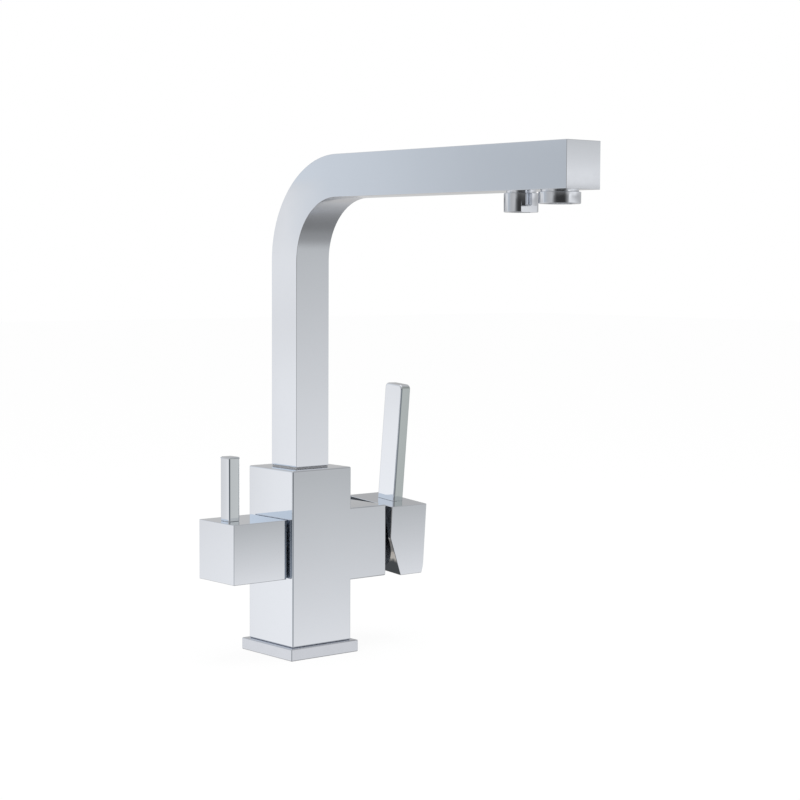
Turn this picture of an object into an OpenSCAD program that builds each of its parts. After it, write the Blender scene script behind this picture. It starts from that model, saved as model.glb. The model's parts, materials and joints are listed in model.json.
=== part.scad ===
// Three way kitchen tap with a swivel spout: hot and cold water through the mixer on the
// right, filtered water through the quarter turn valve on the left, and an outlet for each
// under the spout's arm.
// The origin is on the spout's swivel axis at the underside of the base plate.
// +Z is up, the spout points along -Y and the mixer is on the +X side.

/* [Base plate] */
// How far the square base plate stands out past the body on each side
plate_ledge = 3.25; // [2.5:0.25:12]
// Thickness of the base plate
plate_h = 7.3; // [6:0.1:14]
// Thickness of the rubber seal let into the plate's underside
seal_h = 1.5; // [0.8:0.1:2.5]
// Width of the seal's band
seal_w = 3; // [2:0.25:4]
// Length of the body's round foot inside the plate
foot_len = 4.5; // [3:0.25:5.5]

/* [Body] */
// Side of the square body
body_w = 45; // [44:0.5:60]
// Height of the body above its base plate
body_h = 107.7; // [100:0.5:150]
// Depth of both handle axes below the top of the body
axis_drop = 47.95; // [46:0.25:60]
// Length of the cartridge boss past the side of the body
boss_len = 28; // [26:0.5:40]
// Height of the cartridge boss
boss_h = 44.8; // [44:0.2:56]
// Wall between the hose cavity and the side of the body
cavity_wall = 5.5; // [4.5:0.25:6]
// Depth of solid metal between the hose cavity and the handle axes
port_block_h = 33; // [28:0.5:40]

/* [Hoses and studs] */
// Drilled diameter of the three hose ports, for an M10 x 1 thread
port_d = 9; // [7:0.5:10]
// Depth of the hose ports
port_len = 12; // [8:0.5:14]
// Drilled diameter of the two stud holes, for an M8 thread
stud_d = 6.8; // [5:0.1:7.5]
// Depth of the stud holes
stud_len = 14; // [8:0.5:18]
// Diameter of the waterways inside the body
water_d = 5; // [3:0.25:5.5]

/* [Spout] */
// Height of the spout's top above the deck
spout_top = 304; // [240:1:380]
// Reach of the spout from the swivel axis to its end face
spout_reach = 242; // [180:1:300]
// Width of the spout's square section, side to side
spout_w = 24.8; // [24.6:0.1:30]
// Depth of the section, from the outside to the inside of the bend
spout_d = 25.2; // [24.6:0.1:30]
// Radius on the inside of the bend
bend_r = 37.5; // [20:0.5:60]
// Wall of the spout
spout_wall = 2; // [1.2:0.1:2.5]
// Gap between the spout's column and the body, filled by the glide ring
swivel_gap = 0.8; // [0.5:0.1:2]
// Diameter of the spout's spigot inside the body
spigot_d = 21.8; // [20:0.1:22.4]
// Length of the spigot below the body's top
spigot_len = 25; // [23:0.5:32]
// Outside diameter of the filtered water tube inside the spout
tube_d = 8; // [6:0.25:8.5]

/* [Outlets] */
// Distance from the spout's end face to the middle of the mixed water outlet
mixed_back = 17.25; // [13:0.25:18]
// Distance between the two outlets
outlet_pitch = 29.25; // [24:0.25:45]
// Diameter of the aerator under the mixed water outlet
aerator_d = 22.4; // [19:0.1:22.6]
// Height of the aerator below the spout
aerator_drop = 7.3; // [6.5:0.1:14]
// Diameter of the filtered water nozzle
nozzle_d = 18.6; // [17:0.1:20]
// Height of the nozzle below the spout
nozzle_drop = 11.3; // [8:0.1:18]
// Depth of the nozzle's two spanner flats
flat_depth = 1.45; // [0.4:0.05:1.6]
// Angle at which the flats of the screwed-in nozzle come to rest
nozzle_turn = 10; // [0:1:90]

/* [Mixer handle] */
// Angle by which the mixer handle stands forward of upright in this pose
rest_turn = 4.3; // [0:0.1:40]
// Gap between the boss and the handle block
mixer_gap = 3.7; // [3:0.1:8]
// Length of the handle block along its axis
mixer_len = 28.45; // [27:0.25:45]
// Wall of the handle block around the cartridge dome
mixer_wall = 2.1; // [1.5:0.1:4]
// Height above the axis at which the block's inner face starts to slope
knee_up = 2.4; // [0:0.2:6]
// How far the slope has run back at the bottom of the block
slope_run = 9.8; // [8:0.2:14]
// Height of the lever's tip above the handle axis
mixer_lever_up = 97; // [60:0.5:140]
// Width of the flat lever, front to back
mixer_lever_w = 16.5; // [10:0.25:22]
// Thickness of the flat lever
mixer_lever_t = 7.7; // [6.5:0.1:10]
// Distance from the block's outer face to the lever
mixer_lever_in = 7.7; // [5:0.1:8.5]
// Outward lean of the lever
mixer_lever_lean = 1.2; // [0:0.1:5]

/* [Mixer cartridge] */
// Nominal diameter of the cartridge
cart_d = 35; // [34:0.1:36]
// Depth of the cartridge seat below the end of the boss
cart_depth = 30.5; // [29.5:0.25:32]
// Width of the square stem
stem_w = 8; // [6:0.1:8.4]
// Diameter of the stem's pivot pin
pivot_d = 3.9; // [2.5:0.1:4.2]

/* [Filter handle] */
// Gap between the body and the handle block
filter_gap = 1.3; // [0.6:0.1:4]
// Length of the handle block along its axis
filter_len = 38.9; // [36:0.5:55]
// Side of the handle block's square section
filter_w = 36.2; // [32:0.2:46]
// Height of the lever's tip above the handle axis
filter_lever_up = 57; // [40:0.5:90]
// Width of the lever, front to back
filter_lever_w = 9.4; // [8:0.2:14]
// Thickness of the lever
filter_lever_t = 8; // [7.5:0.1:11]
// Distance from the block's outer face to the lever
filter_lever_in = 6.1; // [4:0.1:8]
// Depth of the valve seat below the side of the body
valve_depth = 13; // [12.5:0.25:14]
// Diameter of the valve cavity
valve_d = 20.4; // [19:0.1:22]

/* [Hidden] */
$fn = 64;

// Clearances and overruns
fit = 0.05;             // gap all round between pieces pressed, screwed or brazed together
run = 0.06;             // radial running clearance of pieces that turn in each other
film = 0.04;            // gap between faces that slide on each other
overrun = 1;            // how far a cut runs past the metal that it opens

// Base plate and body
foot_wall = 2.4;
seal_in = 1.4;          // plate between its hole and the seal
plate_w = body_w + 2 * plate_ledge;
body_top = plate_h + body_h;
axis_h = body_top - axis_drop;
boss_end = body_w / 2 + boss_len;
cavity_r = body_w / 2 - cavity_wall;
cavity_top = axis_h - port_block_h;
foot_r = cavity_r + foot_wall;
seal_r = foot_r + seal_in + seal_w;

// Grub screws
grub_d = 5;
grub_len = 8;
grub_key = 2.5;

// Mixer cartridge, as distances from the swivel axis along the handle axis
cart_base_h = 5;
cart_wall = 5.2;        // wall around the discs
disc_t = 3.5;
driver_t = 4;
step_t = 1.2;           // step that holds the carrier in
nut_len = 9;
nut_lip = 1;            // how far the nut's thread stands out past the cartridge
neck_r = 12.9;
neck_wall = 2.4;
carrier_in = 1.5;
pivot_in = 5.5;
ball_in = 1.7;
cart_floor = boss_end - cart_depth;
disc_from = cart_floor + cart_base_h;
moving_from = disc_from + disc_t + film;
driver_from = moving_from + disc_t;
driver_to = driver_from + driver_t;
nut_from = boss_end - nut_len;
nut_r = cart_d / 2 + nut_lip;
step_x = nut_from - step_t;
disc_bore_r = cart_d / 2 - cart_wall;
neck_bore_r = neck_r - neck_wall;
carrier_to = boss_end - carrier_in;
pivot_x = boss_end - pivot_in;
pin_in = 0.6;
slot_up = 7;            // half height of the slot in which the stem tilts
inlet_y = 7.6;
inlet_drop = 3.5;
outlet_up = 7;
cart_port_r = 2.3;
ring_t = 1.5;           // section of the rubber rings
base_seal_t = 1;
moving_disc_r = 9;
driver_r = 8;
disc_drop = 2.2;        // the moving disc stands below the axis while the tap is shut
recess_r = 6.5;
recess_t = 1.5;
ball_x = driver_to - ball_in;
ball_r = 1.85;
ball_gap = 0.2;
stem_neck_r = 1.3;

// Dome over the cartridge nut, a ring cut from a sphere about the stem's pivot
dome_t = 1.2;
dome_gap = 0.3;
dome_hole_share = 0.66;
dome_r = min(body_w, boss_h) / 2 - mixer_wall - dome_gap;
dome_mouth_r = sqrt(pow(dome_r, 2) - pow(pivot_in, 2));
skirt_r = neck_r + 2 * dome_t;

// Mixer handle block
mixer_in = boss_end + mixer_gap;
mixer_out = mixer_in + mixer_len;
pocket_r = dome_r + dome_gap;
floor_gap = 1;
pocket_floor = pivot_x + dome_r + floor_gap;
stem_cover = 4.6;
stem_tip = mixer_out - stem_cover;
stem_from = pivot_x - pivot_in;
mixer_grub_x = (pocket_floor + stem_tip) / 2;
mixer_lever_x = mixer_out - mixer_lever_in - mixer_lever_t / 2;
lever_round = 3;
tenon_d = 5;
tenon_len = 8;
sweep_up = 8;           // height over which the outer face is drawn in at the bottom
sweep_in = 1.1;
sweep_r = (pow(sweep_up, 2) + pow(sweep_in, 2)) / (2 * sweep_in);

// Filter valve, as distances from the swivel axis along the handle axis
seat_washer_t = 1.5;
valve_disc_r = 7.3;
valve_disc_t = 2;
spindle_head_t = 2;
sleeve_gap = 1.2;       // ring of space round the bonnet's sleeve
thread_gap = 0.4;
flange_r = 9.6;
flange_t = 3.5;
bonnet_neck_r = 7;
bonnet_out = 15;
spindle_r = 3.5;
spindle_out = 26;
spindle_flat = 0.5;
window_r = 1.1;
valve_port_r = 1.8;
valve_port_up = 4;
valve_ring_t = 1;
seat_x = body_w / 2 - valve_depth;
valve_r = valve_d / 2;
fixed_from = seat_x + seat_washer_t;
spin_from = fixed_from + valve_disc_t + film;
head_from = spin_from + valve_disc_t;
head_to = head_from + spindle_head_t;
thread_from = head_to + thread_gap;
sleeve_r = valve_r - sleeve_gap;
bonnet_to = body_w / 2 + bonnet_out;
spindle_tip = body_w / 2 + spindle_out;
bonnet_ring_x = (thread_from + body_w / 2) / 2;
spindle_ring_x = (body_w / 2 + bonnet_to) / 2;
filter_in = body_w / 2 + filter_gap;
filter_out = filter_in + filter_len;
filter_pocket_r = flange_r + sleeve_gap;
filter_pocket_floor = bonnet_to + floor_gap;
filter_grub_x = (filter_pocket_floor + spindle_tip) / 2;
filter_lever_x = filter_out - filter_lever_in - filter_lever_t / 2;

// Spout joint
chamber_h = 2;          // space for mixed water under the spigot
centre_depth = 8;
centre_grip = 4;        // length of the centre tube held in the body
spigot_bore_r = 7.5;
plug_h = 7;
groove_h = 6;
groove_t = 1.7;
groove_drop = 10.5;
tip_gap = 0.4;
seal_pitch = 5;
socket_r = spigot_d / 2 + run;
spigot_from = body_top - spigot_len;
socket_floor = spigot_from - chamber_h;
column_from = body_top + swivel_gap;
groove_r = spigot_d / 2 - groove_t;
screw_from = groove_r + tip_gap;
screw_out = 1;          // how far the retaining screw lies below the back of the body
glide_in = 0.3;

// Hose ports and waterways
water_wall = 1.6;
port_x = 5;
stud_x = -6.5;
stud_edge = 2;
outlet_in = 3;          // from the valve seat to the channel that leads up from the valve
filtered_x = -(seat_x - water_d / 2 - water_wall);
stud_y = cavity_r - stud_d / 2 - stud_edge;
mixed_x = spigot_d / 2 - water_d / 2;
riser_from = cavity_top + port_len - overrun;

// Spout and outlets
bend_y = -(spout_d / 2 + bend_r);
bend_z = spout_top - spout_d - bend_r;
arm_under = spout_top - spout_d;
arm_z = spout_top - spout_d / 2;
mixed_y = -(spout_reach - mixed_back);
filtered_y = mixed_y + outlet_pitch;
tube_wall = 1.5;
tube_from = socket_floor - centre_grip;
tube_grip = 7;
elbow_wall = 1.4;
elbow_len = 12;
neck_drop = 1;          // how far each outlet's bush stands below the spout
neck_in = 1.1;          // how far the bush is narrower than the piece screwed into it
bush_wall = 1.5;
bush_h = spout_d / 2 - tube_d / 2 - elbow_wall - 2 * fit;
throat_in = 1.6;
thread_len = 4;
washer_t = 1;
outlet_wall = 2.2;
lip_in = 0.8;
lip_t = 0.8;
insert_t = 4;
flat_h = 3.4;
jet_r = 0.6;
jet_rings = [[1, 0], [6, 1], [12, 2], [18, 3]];
jet_pitch = 1.9;

// Placing
module on_axis() translate([0, 0, axis_h]) children();
module mixer_pose() on_axis() rotate([rest_turn, 0, 0]) children();
module valve_side() on_axis() mirror([1, 0, 0]) children();
// Turns a drawing so that its x runs along Y, its y along Z, and its thickness along X
module side_view() rotate([90, 0, 90]) children();

// Round shapes along X, between two distances from the swivel axis
module rod_x(r, from, to) translate([from, 0, 0]) rotate([0, 90, 0]) cylinder(r = r, h = to - from);
module ring_x(outer, inner, from, to) difference() {
    rod_x(outer, from, to);
    rod_x(inner, from - overrun, to + overrun);
}
module ring(outer, inner, h) difference() {
    cylinder(r = outer, h = h);
    translate([0, 0, -overrun]) cylinder(r = inner, h = h + 2 * overrun);
}
// Round channel between two points of the XZ plane
module slant(d, from, to) {
    run_x = to[0] - from[0];
    run_z = to[1] - from[1];
    translate([from[0], 0, from[1]]) rotate([0, atan2(run_x, run_z), 0])
        cylinder(d = d, h = norm([run_x, run_z]));
}
// Grub screw along +Z, with its hexagon socket at the far end
module grub_screw(len) difference() {
    cylinder(d = grub_d - 2 * fit, h = len);
    translate([0, 0, len - grub_key]) cylinder(d = grub_key, h = grub_key + overrun, $fn = 6);
}

// Base plate and its seal
module base_plate() color("gainsboro") difference() {
    translate([-plate_w / 2, -plate_w / 2, 0]) cube([plate_w, plate_w, plate_h]);
    translate([0, 0, -overrun]) cylinder(r = foot_r + fit, h = plate_h + 2 * overrun);
    translate([0, 0, -overrun]) ring(seal_r + fit, seal_r - seal_w - fit, seal_h + overrun);
}
module base_seal() color("dimgray") ring(seal_r, seal_r - seal_w, seal_h);

// Body casting with its boss, hose cavity, valve cavities and waterways
module body() color("silver") difference() {
    union() {
        translate([-body_w / 2, -body_w / 2, plate_h]) cube([body_w, body_w, body_h]);
        translate([0, -body_w / 2, axis_h - boss_h / 2]) cube([boss_end, body_w, boss_h]);
        translate([0, 0, plate_h - foot_len]) cylinder(r = foot_r, h = foot_len + overrun);
    }
    translate([0, 0, -overrun]) cylinder(r = cavity_r, h = cavity_top + overrun);
    translate([0, 0, cavity_top - overrun]) {
        for (y = [-inlet_y, inlet_y]) translate([port_x, y, 0]) cylinder(d = port_d, h = port_len + overrun);
        translate([filtered_x, 0, 0]) cylinder(d = port_d, h = port_len + overrun);
        for (y = [-stud_y, stud_y]) translate([stud_x, y, 0]) cylinder(d = stud_d, h = stud_len + overrun);
    }
    body_waterways();
    on_axis() rod_x(cart_d / 2 + fit, cart_floor, boss_end);
    on_axis() rod_x(nut_r, nut_from - fit, boss_end + overrun);
    valve_side() rod_x(valve_r, seat_x, body_w / 2 + overrun);
    translate([0, 0, socket_floor]) cylinder(r = socket_r, h = body_top);
    translate([0, 0, socket_floor - centre_depth]) cylinder(r = tube_d / 2 + run, h = centre_depth + overrun);
    retaining_place() cylinder(d = grub_d, h = body_w);
}
module body_waterways() {
    // hot and cold water up to the cartridge
    for (y = [-inlet_y, inlet_y]) translate([0, y, 0]) {
        translate([port_x, 0, riser_from])
            cylinder(d = water_d, h = axis_h - inlet_drop + water_d / 2 - riser_from);
        translate([0, 0, axis_h - inlet_drop]) rod_x(water_d / 2, port_x, cart_floor + overrun);
    }
    // mixed water back from the cartridge and up to the spout
    translate([0, 0, axis_h + outlet_up]) rod_x(water_d / 2, mixed_x - water_d / 2, cart_floor + overrun);
    translate([mixed_x, 0, axis_h + outlet_up])
        cylinder(d = water_d, h = socket_floor + overrun - axis_h - outlet_up);
    // filtered water up to the valve seat, and from the valve to the spout's centre tube
    translate([filtered_x, 0, riser_from]) cylinder(d = water_d, h = axis_h + water_d / 2 - riser_from);
    valve_side() rod_x(water_d / 2, -filtered_x, seat_x + overrun);
    slant(water_d, [-seat_x - outlet_in, axis_h + sleeve_r],
        [0, (socket_floor - centre_depth + tube_from) / 2]);
}
// The retaining screw runs out to the back of the body, with its tip in the spigot's groove
module retaining_place() translate([0, screw_from, body_top - groove_drop]) rotate([-90, 0, 0]) children();
module spout_retaining_screw() color("gray") retaining_place() grub_screw(body_w / 2 - screw_from - screw_out);
module spout_glide_ring() color("dimgray") translate([0, 0, body_top])
    ring(spout_w / 2 - glide_in, socket_r + glide_in, swivel_gap - film);

// Mixer cartridge: fixed pieces
module at_ports() {
    for (y = [-inlet_y, inlet_y]) translate([0, y, -inlet_drop]) children();
    translate([0, 0, outlet_up]) children();
}
module cartridge_base_seals() color("black") on_axis() at_ports()
    ring_x(cart_port_r + ring_t, cart_port_r + fit, cart_floor, cart_floor + base_seal_t);
module cartridge_housing() color("whitesmoke") on_axis() difference() {
    union() {
        rod_x(cart_d / 2, cart_floor, nut_from - fit);
        rod_x(neck_r, step_x, carrier_to);
    }
    rod_x(disc_bore_r, disc_from, step_x);
    rod_x(neck_bore_r, disc_from, carrier_to + overrun);
    at_ports() rod_x(cart_port_r, cart_floor - overrun, disc_from + overrun);
    at_ports() rod_x(cart_port_r + ring_t + fit, cart_floor - overrun, cart_floor + base_seal_t);
}
module cartridge_fixed_disc() color("ivory") on_axis() difference() {
    rod_x(disc_bore_r - fit, disc_from, disc_from + disc_t);
    at_ports() rod_x(cart_port_r, disc_from - overrun, disc_from + disc_t + overrun);
}
module cartridge_nut() color("goldenrod") on_axis() difference() {
    rod_x(nut_r - fit, nut_from, boss_end);
    rod_x(neck_r + fit, nut_from - overrun, boss_end + overrun);
    rod_x(skirt_r + fit, boss_end - nut_lip - fit, boss_end + overrun);
}
// Half section of the dome, drawn with y along the handle axis from the stem's pivot
module dome_section() {
    intersection() {
        difference() {
            circle(r = dome_r);
            circle(r = dome_r - dome_t);
        }
        translate([dome_r * dome_hole_share, pivot_in]) square(dome_r);
    }
    // foot against the end of the boss, and the skirt that snaps into the nut
    translate([skirt_r - dome_t, pivot_in]) square([dome_mouth_r - dome_t / 2 - skirt_r + dome_t, dome_t]);
    translate([skirt_r - dome_t, pivot_in - nut_lip]) square([dome_t, nut_lip + dome_t]);
}
module cartridge_dome() color("silver") on_axis() translate([pivot_x, 0, 0]) rotate([0, 90, 0])
    rotate_extrude() dome_section();

// Mixer cartridge: pieces that turn with the handle
module pivot_bore(r, half) translate([pivot_x, 0, 0]) rotate([90, 0, 0])
    cylinder(r = r, h = 2 * half, center = true);
module cartridge_carrier() color("lightgray") mixer_pose() difference() {
    union() {
        rod_x(disc_bore_r - run, driver_to + film, step_x - film);
        rod_x(neck_bore_r - run, driver_to + film, carrier_to);
    }
    translate([driver_to - overrun, -stem_w / 2 - run, -slot_up])
        cube([carrier_to - driver_to + 2 * overrun, stem_w + 2 * run, 2 * slot_up]);
    pivot_bore(pivot_d / 2 + fit, neck_bore_r + overrun);
}
module cartridge_pivot_pin() color("gray") mixer_pose() pivot_bore(pivot_d / 2, neck_bore_r - pin_in);

// Mixer cartridge: pieces that slide across the fixed disc as the lever is lifted
module cartridge_moving_disc() color("ivory") mixer_pose() translate([0, 0, -disc_drop]) difference() {
    rod_x(moving_disc_r, moving_from, driver_from);
    rod_x(recess_r, moving_from - overrun, moving_from + recess_t);
}
module disc_driver() color("lightgray") mixer_pose() difference() {
    translate([0, 0, -disc_drop]) rod_x(driver_r, driver_from, driver_to);
    rod_x(ball_r + ball_gap, ball_x - ball_r - ball_gap, driver_to + overrun);
}

// Mixer handle, with the stem that it is screwed to

// Half section of the ball at the stem's inner end, with its neck
module ball_section() {
    intersection() {
        circle(r = ball_r);
        translate([0, -ball_r]) square([ball_r, 2 * ball_r]);
    }
    square([stem_neck_r, stem_from + overrun - ball_x]);
}
module cartridge_stem() color("darkgray") mixer_pose() difference() {
    union() {
        translate([stem_from, -stem_w / 2, -stem_w / 2]) cube([stem_tip - stem_from, stem_w, stem_w]);
        translate([ball_x, 0, 0]) rotate([0, 90, 0]) rotate_extrude() ball_section();
    }
    pivot_bore(pivot_d / 2 + run, stem_w);
}
// Side of the handle block, drawn with x along its axis and y upwards
module mixer_outline() intersection() {
    polygon([
        [mixer_in, boss_h / 2], [mixer_out, boss_h / 2], [mixer_out, -boss_h / 2],
        [mixer_in + slope_run, -boss_h / 2], [mixer_in, knee_up]
    ]);
    union() {
        translate([mixer_out - sweep_r, sweep_up - boss_h / 2]) circle(r = sweep_r, $fn = 180);
        translate([mixer_in, sweep_up - boss_h / 2]) square([mixer_len, boss_h]);
    }
}
module mixer_handle() color("silver") mixer_pose() difference() {
    rotate([90, 0, 0]) linear_extrude(height = body_w, center = true) mixer_outline();
    rod_x(pocket_r, boss_end, pocket_floor);
    translate([pocket_floor - overrun, -stem_w / 2 - fit, -stem_w / 2 - fit])
        cube([stem_tip + overrun + fit - pocket_floor, stem_w + 2 * fit, stem_w + 2 * fit]);
    translate([mixer_grub_x, 0, -boss_h]) cylinder(d = grub_d, h = boss_h);
    translate([mixer_lever_x, 0, boss_h / 2 - tenon_len - fit]) cylinder(d = tenon_d + 2 * fit, h = boss_h);
}
module mixer_grub_screw() color("gray") mixer_pose()
    translate([mixer_grub_x, 0, -stem_w / 2 - film]) rotate([180, 0, 0]) grub_screw(grub_len);
// Flat bar standing on y = 0, with the two corners of its top rounded
module lever_face(w, h, r) {
    translate([-w / 2, -overrun]) square([w, h + overrun - r]);
    translate([r - w / 2, 0]) square([w - 2 * r, h]);
    for (side = [-1, 1]) translate([side * (w / 2 - r), h - r]) circle(r = r);
}
module mixer_lever() color("silver") mixer_pose() translate([mixer_lever_x, 0, boss_h / 2]) {
    difference() {
        rotate([0, mixer_lever_lean, 0]) side_view() translate([0, 0, -mixer_lever_t / 2])
            linear_extrude(height = mixer_lever_t)
                lever_face(mixer_lever_w, mixer_lever_up - boss_h / 2, lever_round);
        translate([-mixer_lever_w, -mixer_lever_w, -2 * mixer_lever_w]) cube(2 * mixer_lever_w);
    }
    translate([0, 0, -tenon_len]) cylinder(d = tenon_d, h = tenon_len + overrun);
}

// Filter valve: fixed pieces
module at_valve_ports() for (side = [-1, 1]) translate([0, 0, side * valve_port_up]) children();
module valve_seat_washer() color("black") valve_side()
    ring_x(valve_disc_r, water_d / 2 + fit, seat_x, fixed_from);
module valve_fixed_disc() color("ivory") valve_side() difference() {
    rod_x(valve_disc_r, fixed_from, fixed_from + valve_disc_t);
    at_valve_ports() rod_x(valve_port_r, fixed_from - overrun, spin_from + overrun);
}
module valve_bonnet() color("goldenrod") valve_side() difference() {
    union() {
        rod_x(sleeve_r, seat_x, thread_from + overrun);
        rod_x(valve_r - fit, thread_from, body_w / 2);
        rod_x(flange_r, body_w / 2, body_w / 2 + flange_t);
        rod_x(bonnet_neck_r, body_w / 2, bonnet_to);
    }
    rod_x(valve_disc_r + run, seat_x - overrun, head_to + film);
    rod_x(spindle_r + run, seat_x, bonnet_to + overrun);
    translate([(head_from + head_to) / 2, 0, 0]) cylinder(r = window_r, h = 2 * valve_r, center = true);
    ring_x(valve_r + overrun, valve_r - valve_ring_t, bonnet_ring_x, bonnet_ring_x + ring_t);
}
module bonnet_seal() color("black") valve_side()
    ring_x(valve_r - fit, valve_r - valve_ring_t, bonnet_ring_x + fit, bonnet_ring_x + ring_t - fit);

// Filter valve: pieces that turn with the handle
module valve_moving_disc() color("ivory") valve_side() difference() {
    rod_x(valve_disc_r, spin_from, head_from);
    rotate([90, 0, 0]) at_valve_ports() rod_x(valve_port_r, spin_from - overrun, head_from + overrun);
}
module valve_spindle() color("goldenrod") valve_side() difference() {
    union() {
        rod_x(valve_disc_r, head_from, head_to);
        rod_x(spindle_r, head_to, spindle_tip);
    }
    rotate([90, 0, 0]) at_valve_ports() rod_x(valve_port_r, head_from - overrun, head_to - film);
    ring_x(spindle_r + overrun, spindle_r - valve_ring_t, spindle_ring_x, spindle_ring_x + ring_t);
    translate([filter_grub_x - grub_d / 2, -spindle_r, -spindle_r - overrun])
        cube([spindle_tip, 2 * spindle_r, spindle_flat + overrun]);
}
module spindle_seal() color("black") valve_side()
    ring_x(spindle_r, spindle_r - valve_ring_t, spindle_ring_x + fit, spindle_ring_x + ring_t - fit);
module filter_handle() color("silver") valve_side() difference() {
    translate([filter_in, -filter_w / 2, -filter_w / 2]) cube([filter_len, filter_w, filter_w]);
    rod_x(filter_pocket_r, body_w / 2, filter_pocket_floor);
    rod_x(spindle_r + fit, filter_pocket_floor - overrun, spindle_tip + fit);
    translate([filter_grub_x, 0, -filter_w]) cylinder(d = grub_d, h = filter_w);
    translate([filter_lever_x, 0, filter_w / 2 - tenon_len - fit]) cylinder(d = tenon_d + 2 * fit, h = filter_w);
}
module filter_grub_screw() color("gray") valve_side()
    translate([filter_grub_x, 0, spindle_flat - spindle_r - film]) rotate([180, 0, 0]) grub_screw(grub_len);
module filter_lever() color("silver") valve_side() translate([filter_lever_x, 0, filter_w / 2]) {
    translate([-filter_lever_t / 2, -filter_lever_w / 2, 0])
        cube([filter_lever_t, filter_lever_w, filter_lever_up - filter_w / 2]);
    translate([0, 0, -tenon_len]) cylinder(d = tenon_d, h = tenon_len + overrun);
}

// Spout: side view of the bent tube, drawn in from its outside by the inset
module spout_side(inset, from) {
    translate([inset - spout_d / 2, from]) square([spout_d - 2 * inset, bend_z - from]);
    translate([inset - spout_reach, arm_under + inset])
        square([spout_reach + bend_y - inset, spout_d - 2 * inset]);
    translate([bend_y, bend_z]) intersection() {
        difference() {
            circle(r = bend_r + spout_d - inset, $fn = 180);
            circle(r = bend_r + inset, $fn = 180);
        }
        square(bend_r + spout_d);
    }
}
module spout_solid(inset, from) side_view() translate([0, 0, inset - spout_w / 2])
    linear_extrude(height = spout_w - 2 * inset) spout_side(inset, from);
module spout_tube() color("silver") difference() {
    spout_solid(0, column_from);
    spout_solid(spout_wall, column_from - overrun);
    translate([0, mixed_y, arm_under - overrun]) cylinder(r = bush_r(aerator_d) + fit, h = bush_h + 2 * overrun);
    translate([0, filtered_y, arm_under - overrun]) cylinder(r = bush_r(nozzle_d) + fit, h = bush_h + 2 * overrun);
}
function bush_r(d) = d / 2 - neck_in;

// Spout: spigot that turns in the body, brazed into the foot of the tube
module spout_spigot() color("goldenrod") difference() {
    union() {
        translate([spout_wall + fit - spout_w / 2, spout_wall + fit - spout_d / 2, column_from])
            cube([spout_w - 2 * spout_wall - 2 * fit, spout_d - 2 * spout_wall - 2 * fit, plug_h]);
        translate([0, 0, spigot_from]) cylinder(d = spigot_d, h = column_from - spigot_from);
    }
    translate([0, 0, spigot_from - overrun]) cylinder(r = spigot_bore_r, h = spout_top);
    at_seals() ring(spigot_d, spigot_d / 2 - ring_t, ring_t + 2 * fit);
    translate([0, 0, body_top - groove_drop - groove_h / 2]) ring(spigot_d, groove_r, groove_h);
}
module at_seals() for (level = [1, 2]) translate([0, 0, spigot_from + level * seal_pitch - ring_t]) children();
module spigot_seals() color("black") at_seals() translate([0, 0, fit]) ring(spigot_d / 2, spigot_d / 2 - ring_t, ring_t);

// Spout: filtered water tube from the body's centre socket to the elbow over its outlet
module filtered_water_tube() color("white") difference() {
    tube_along(tube_d / 2, 0);
    tube_along(tube_d / 2 - tube_wall, overrun);
    translate([0, 0, tube_from + ring_t]) ring(tube_d, tube_d / 2 - tube_wall / 2, ring_t);
}
module tube_along(r, past) {
    translate([0, 0, tube_from - past]) cylinder(r = r, h = bend_z + past - tube_from);
    translate([0, bend_y, bend_z]) side_view() rotate_extrude(angle = 90) translate([-bend_y, 0]) circle(r = r);
    translate([0, bend_y, arm_z]) rotate([90, 0, 0])
        cylinder(r = r, h = bend_y - filtered_y - elbow_len + tube_grip + past);
}
module filtered_tube_seal() color("black") translate([0, 0, tube_from + ring_t + fit])
    ring(tube_d / 2, tube_d / 2 - tube_wall / 2, ring_t - 2 * fit);
module filtered_tube_elbow() color("whitesmoke") translate([0, filtered_y, arm_z]) {
    outer_r = tube_d / 2 + elbow_wall;
    bore_r = tube_d / 2 - tube_wall;
    drop = arm_z - throat_z() - fit;
    difference() {
        union() {
            rotate([-90, 0, 0]) cylinder(r = outer_r, h = elbow_len);
            sphere(r = outer_r);
            translate([0, 0, -drop]) cylinder(r = tube_d / 2, h = drop);
        }
        rotate([-90, 0, 0]) cylinder(r = bore_r, h = elbow_len + overrun);
        translate([0, elbow_len - tube_grip - fit, 0]) rotate([-90, 0, 0])
            cylinder(r = tube_d / 2 + fit, h = elbow_len);
        translate([0, 0, -drop - overrun]) cylinder(r = bore_r, h = drop + overrun);
    }
}
// Height at which each bush narrows to its throat
function throat_z() = arm_under - neck_drop + thread_len + washer_t;

// Outlets: a bush brazed into the spout, the piece screwed into it, its insert and its washer
module outlet_bush(d, throat_r) translate([0, 0, arm_under - neck_drop]) difference() {
    cylinder(r = bush_r(d), h = neck_drop + bush_h);
    translate([0, 0, -overrun]) cylinder(r = bush_r(d) - bush_wall, h = thread_len + washer_t + overrun);
    cylinder(r = throat_r, h = neck_drop + bush_h + overrun);
}
module outlet_shell(d, drop) {
    skirt_h = drop - neck_drop - fit;
    screw_r = bush_r(d) - bush_wall - fit;
    translate([0, 0, arm_under - drop]) difference() {
        union() {
            cylinder(d = d, h = skirt_h);
            cylinder(r = screw_r, h = drop - neck_drop + thread_len - fit);
        }
        translate([0, 0, -overrun]) cylinder(r = screw_r - throat_in, h = drop + thread_len + overrun);
        translate([0, 0, -overrun]) cylinder(r = insert_r(d) - lip_in, h = lip_t + 2 * overrun);
        translate([0, 0, lip_t]) cylinder(r = insert_r(d) + fit, h = insert_t + fit);
    }
}
function insert_r(d) = d / 2 - outlet_wall - fit;
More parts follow.
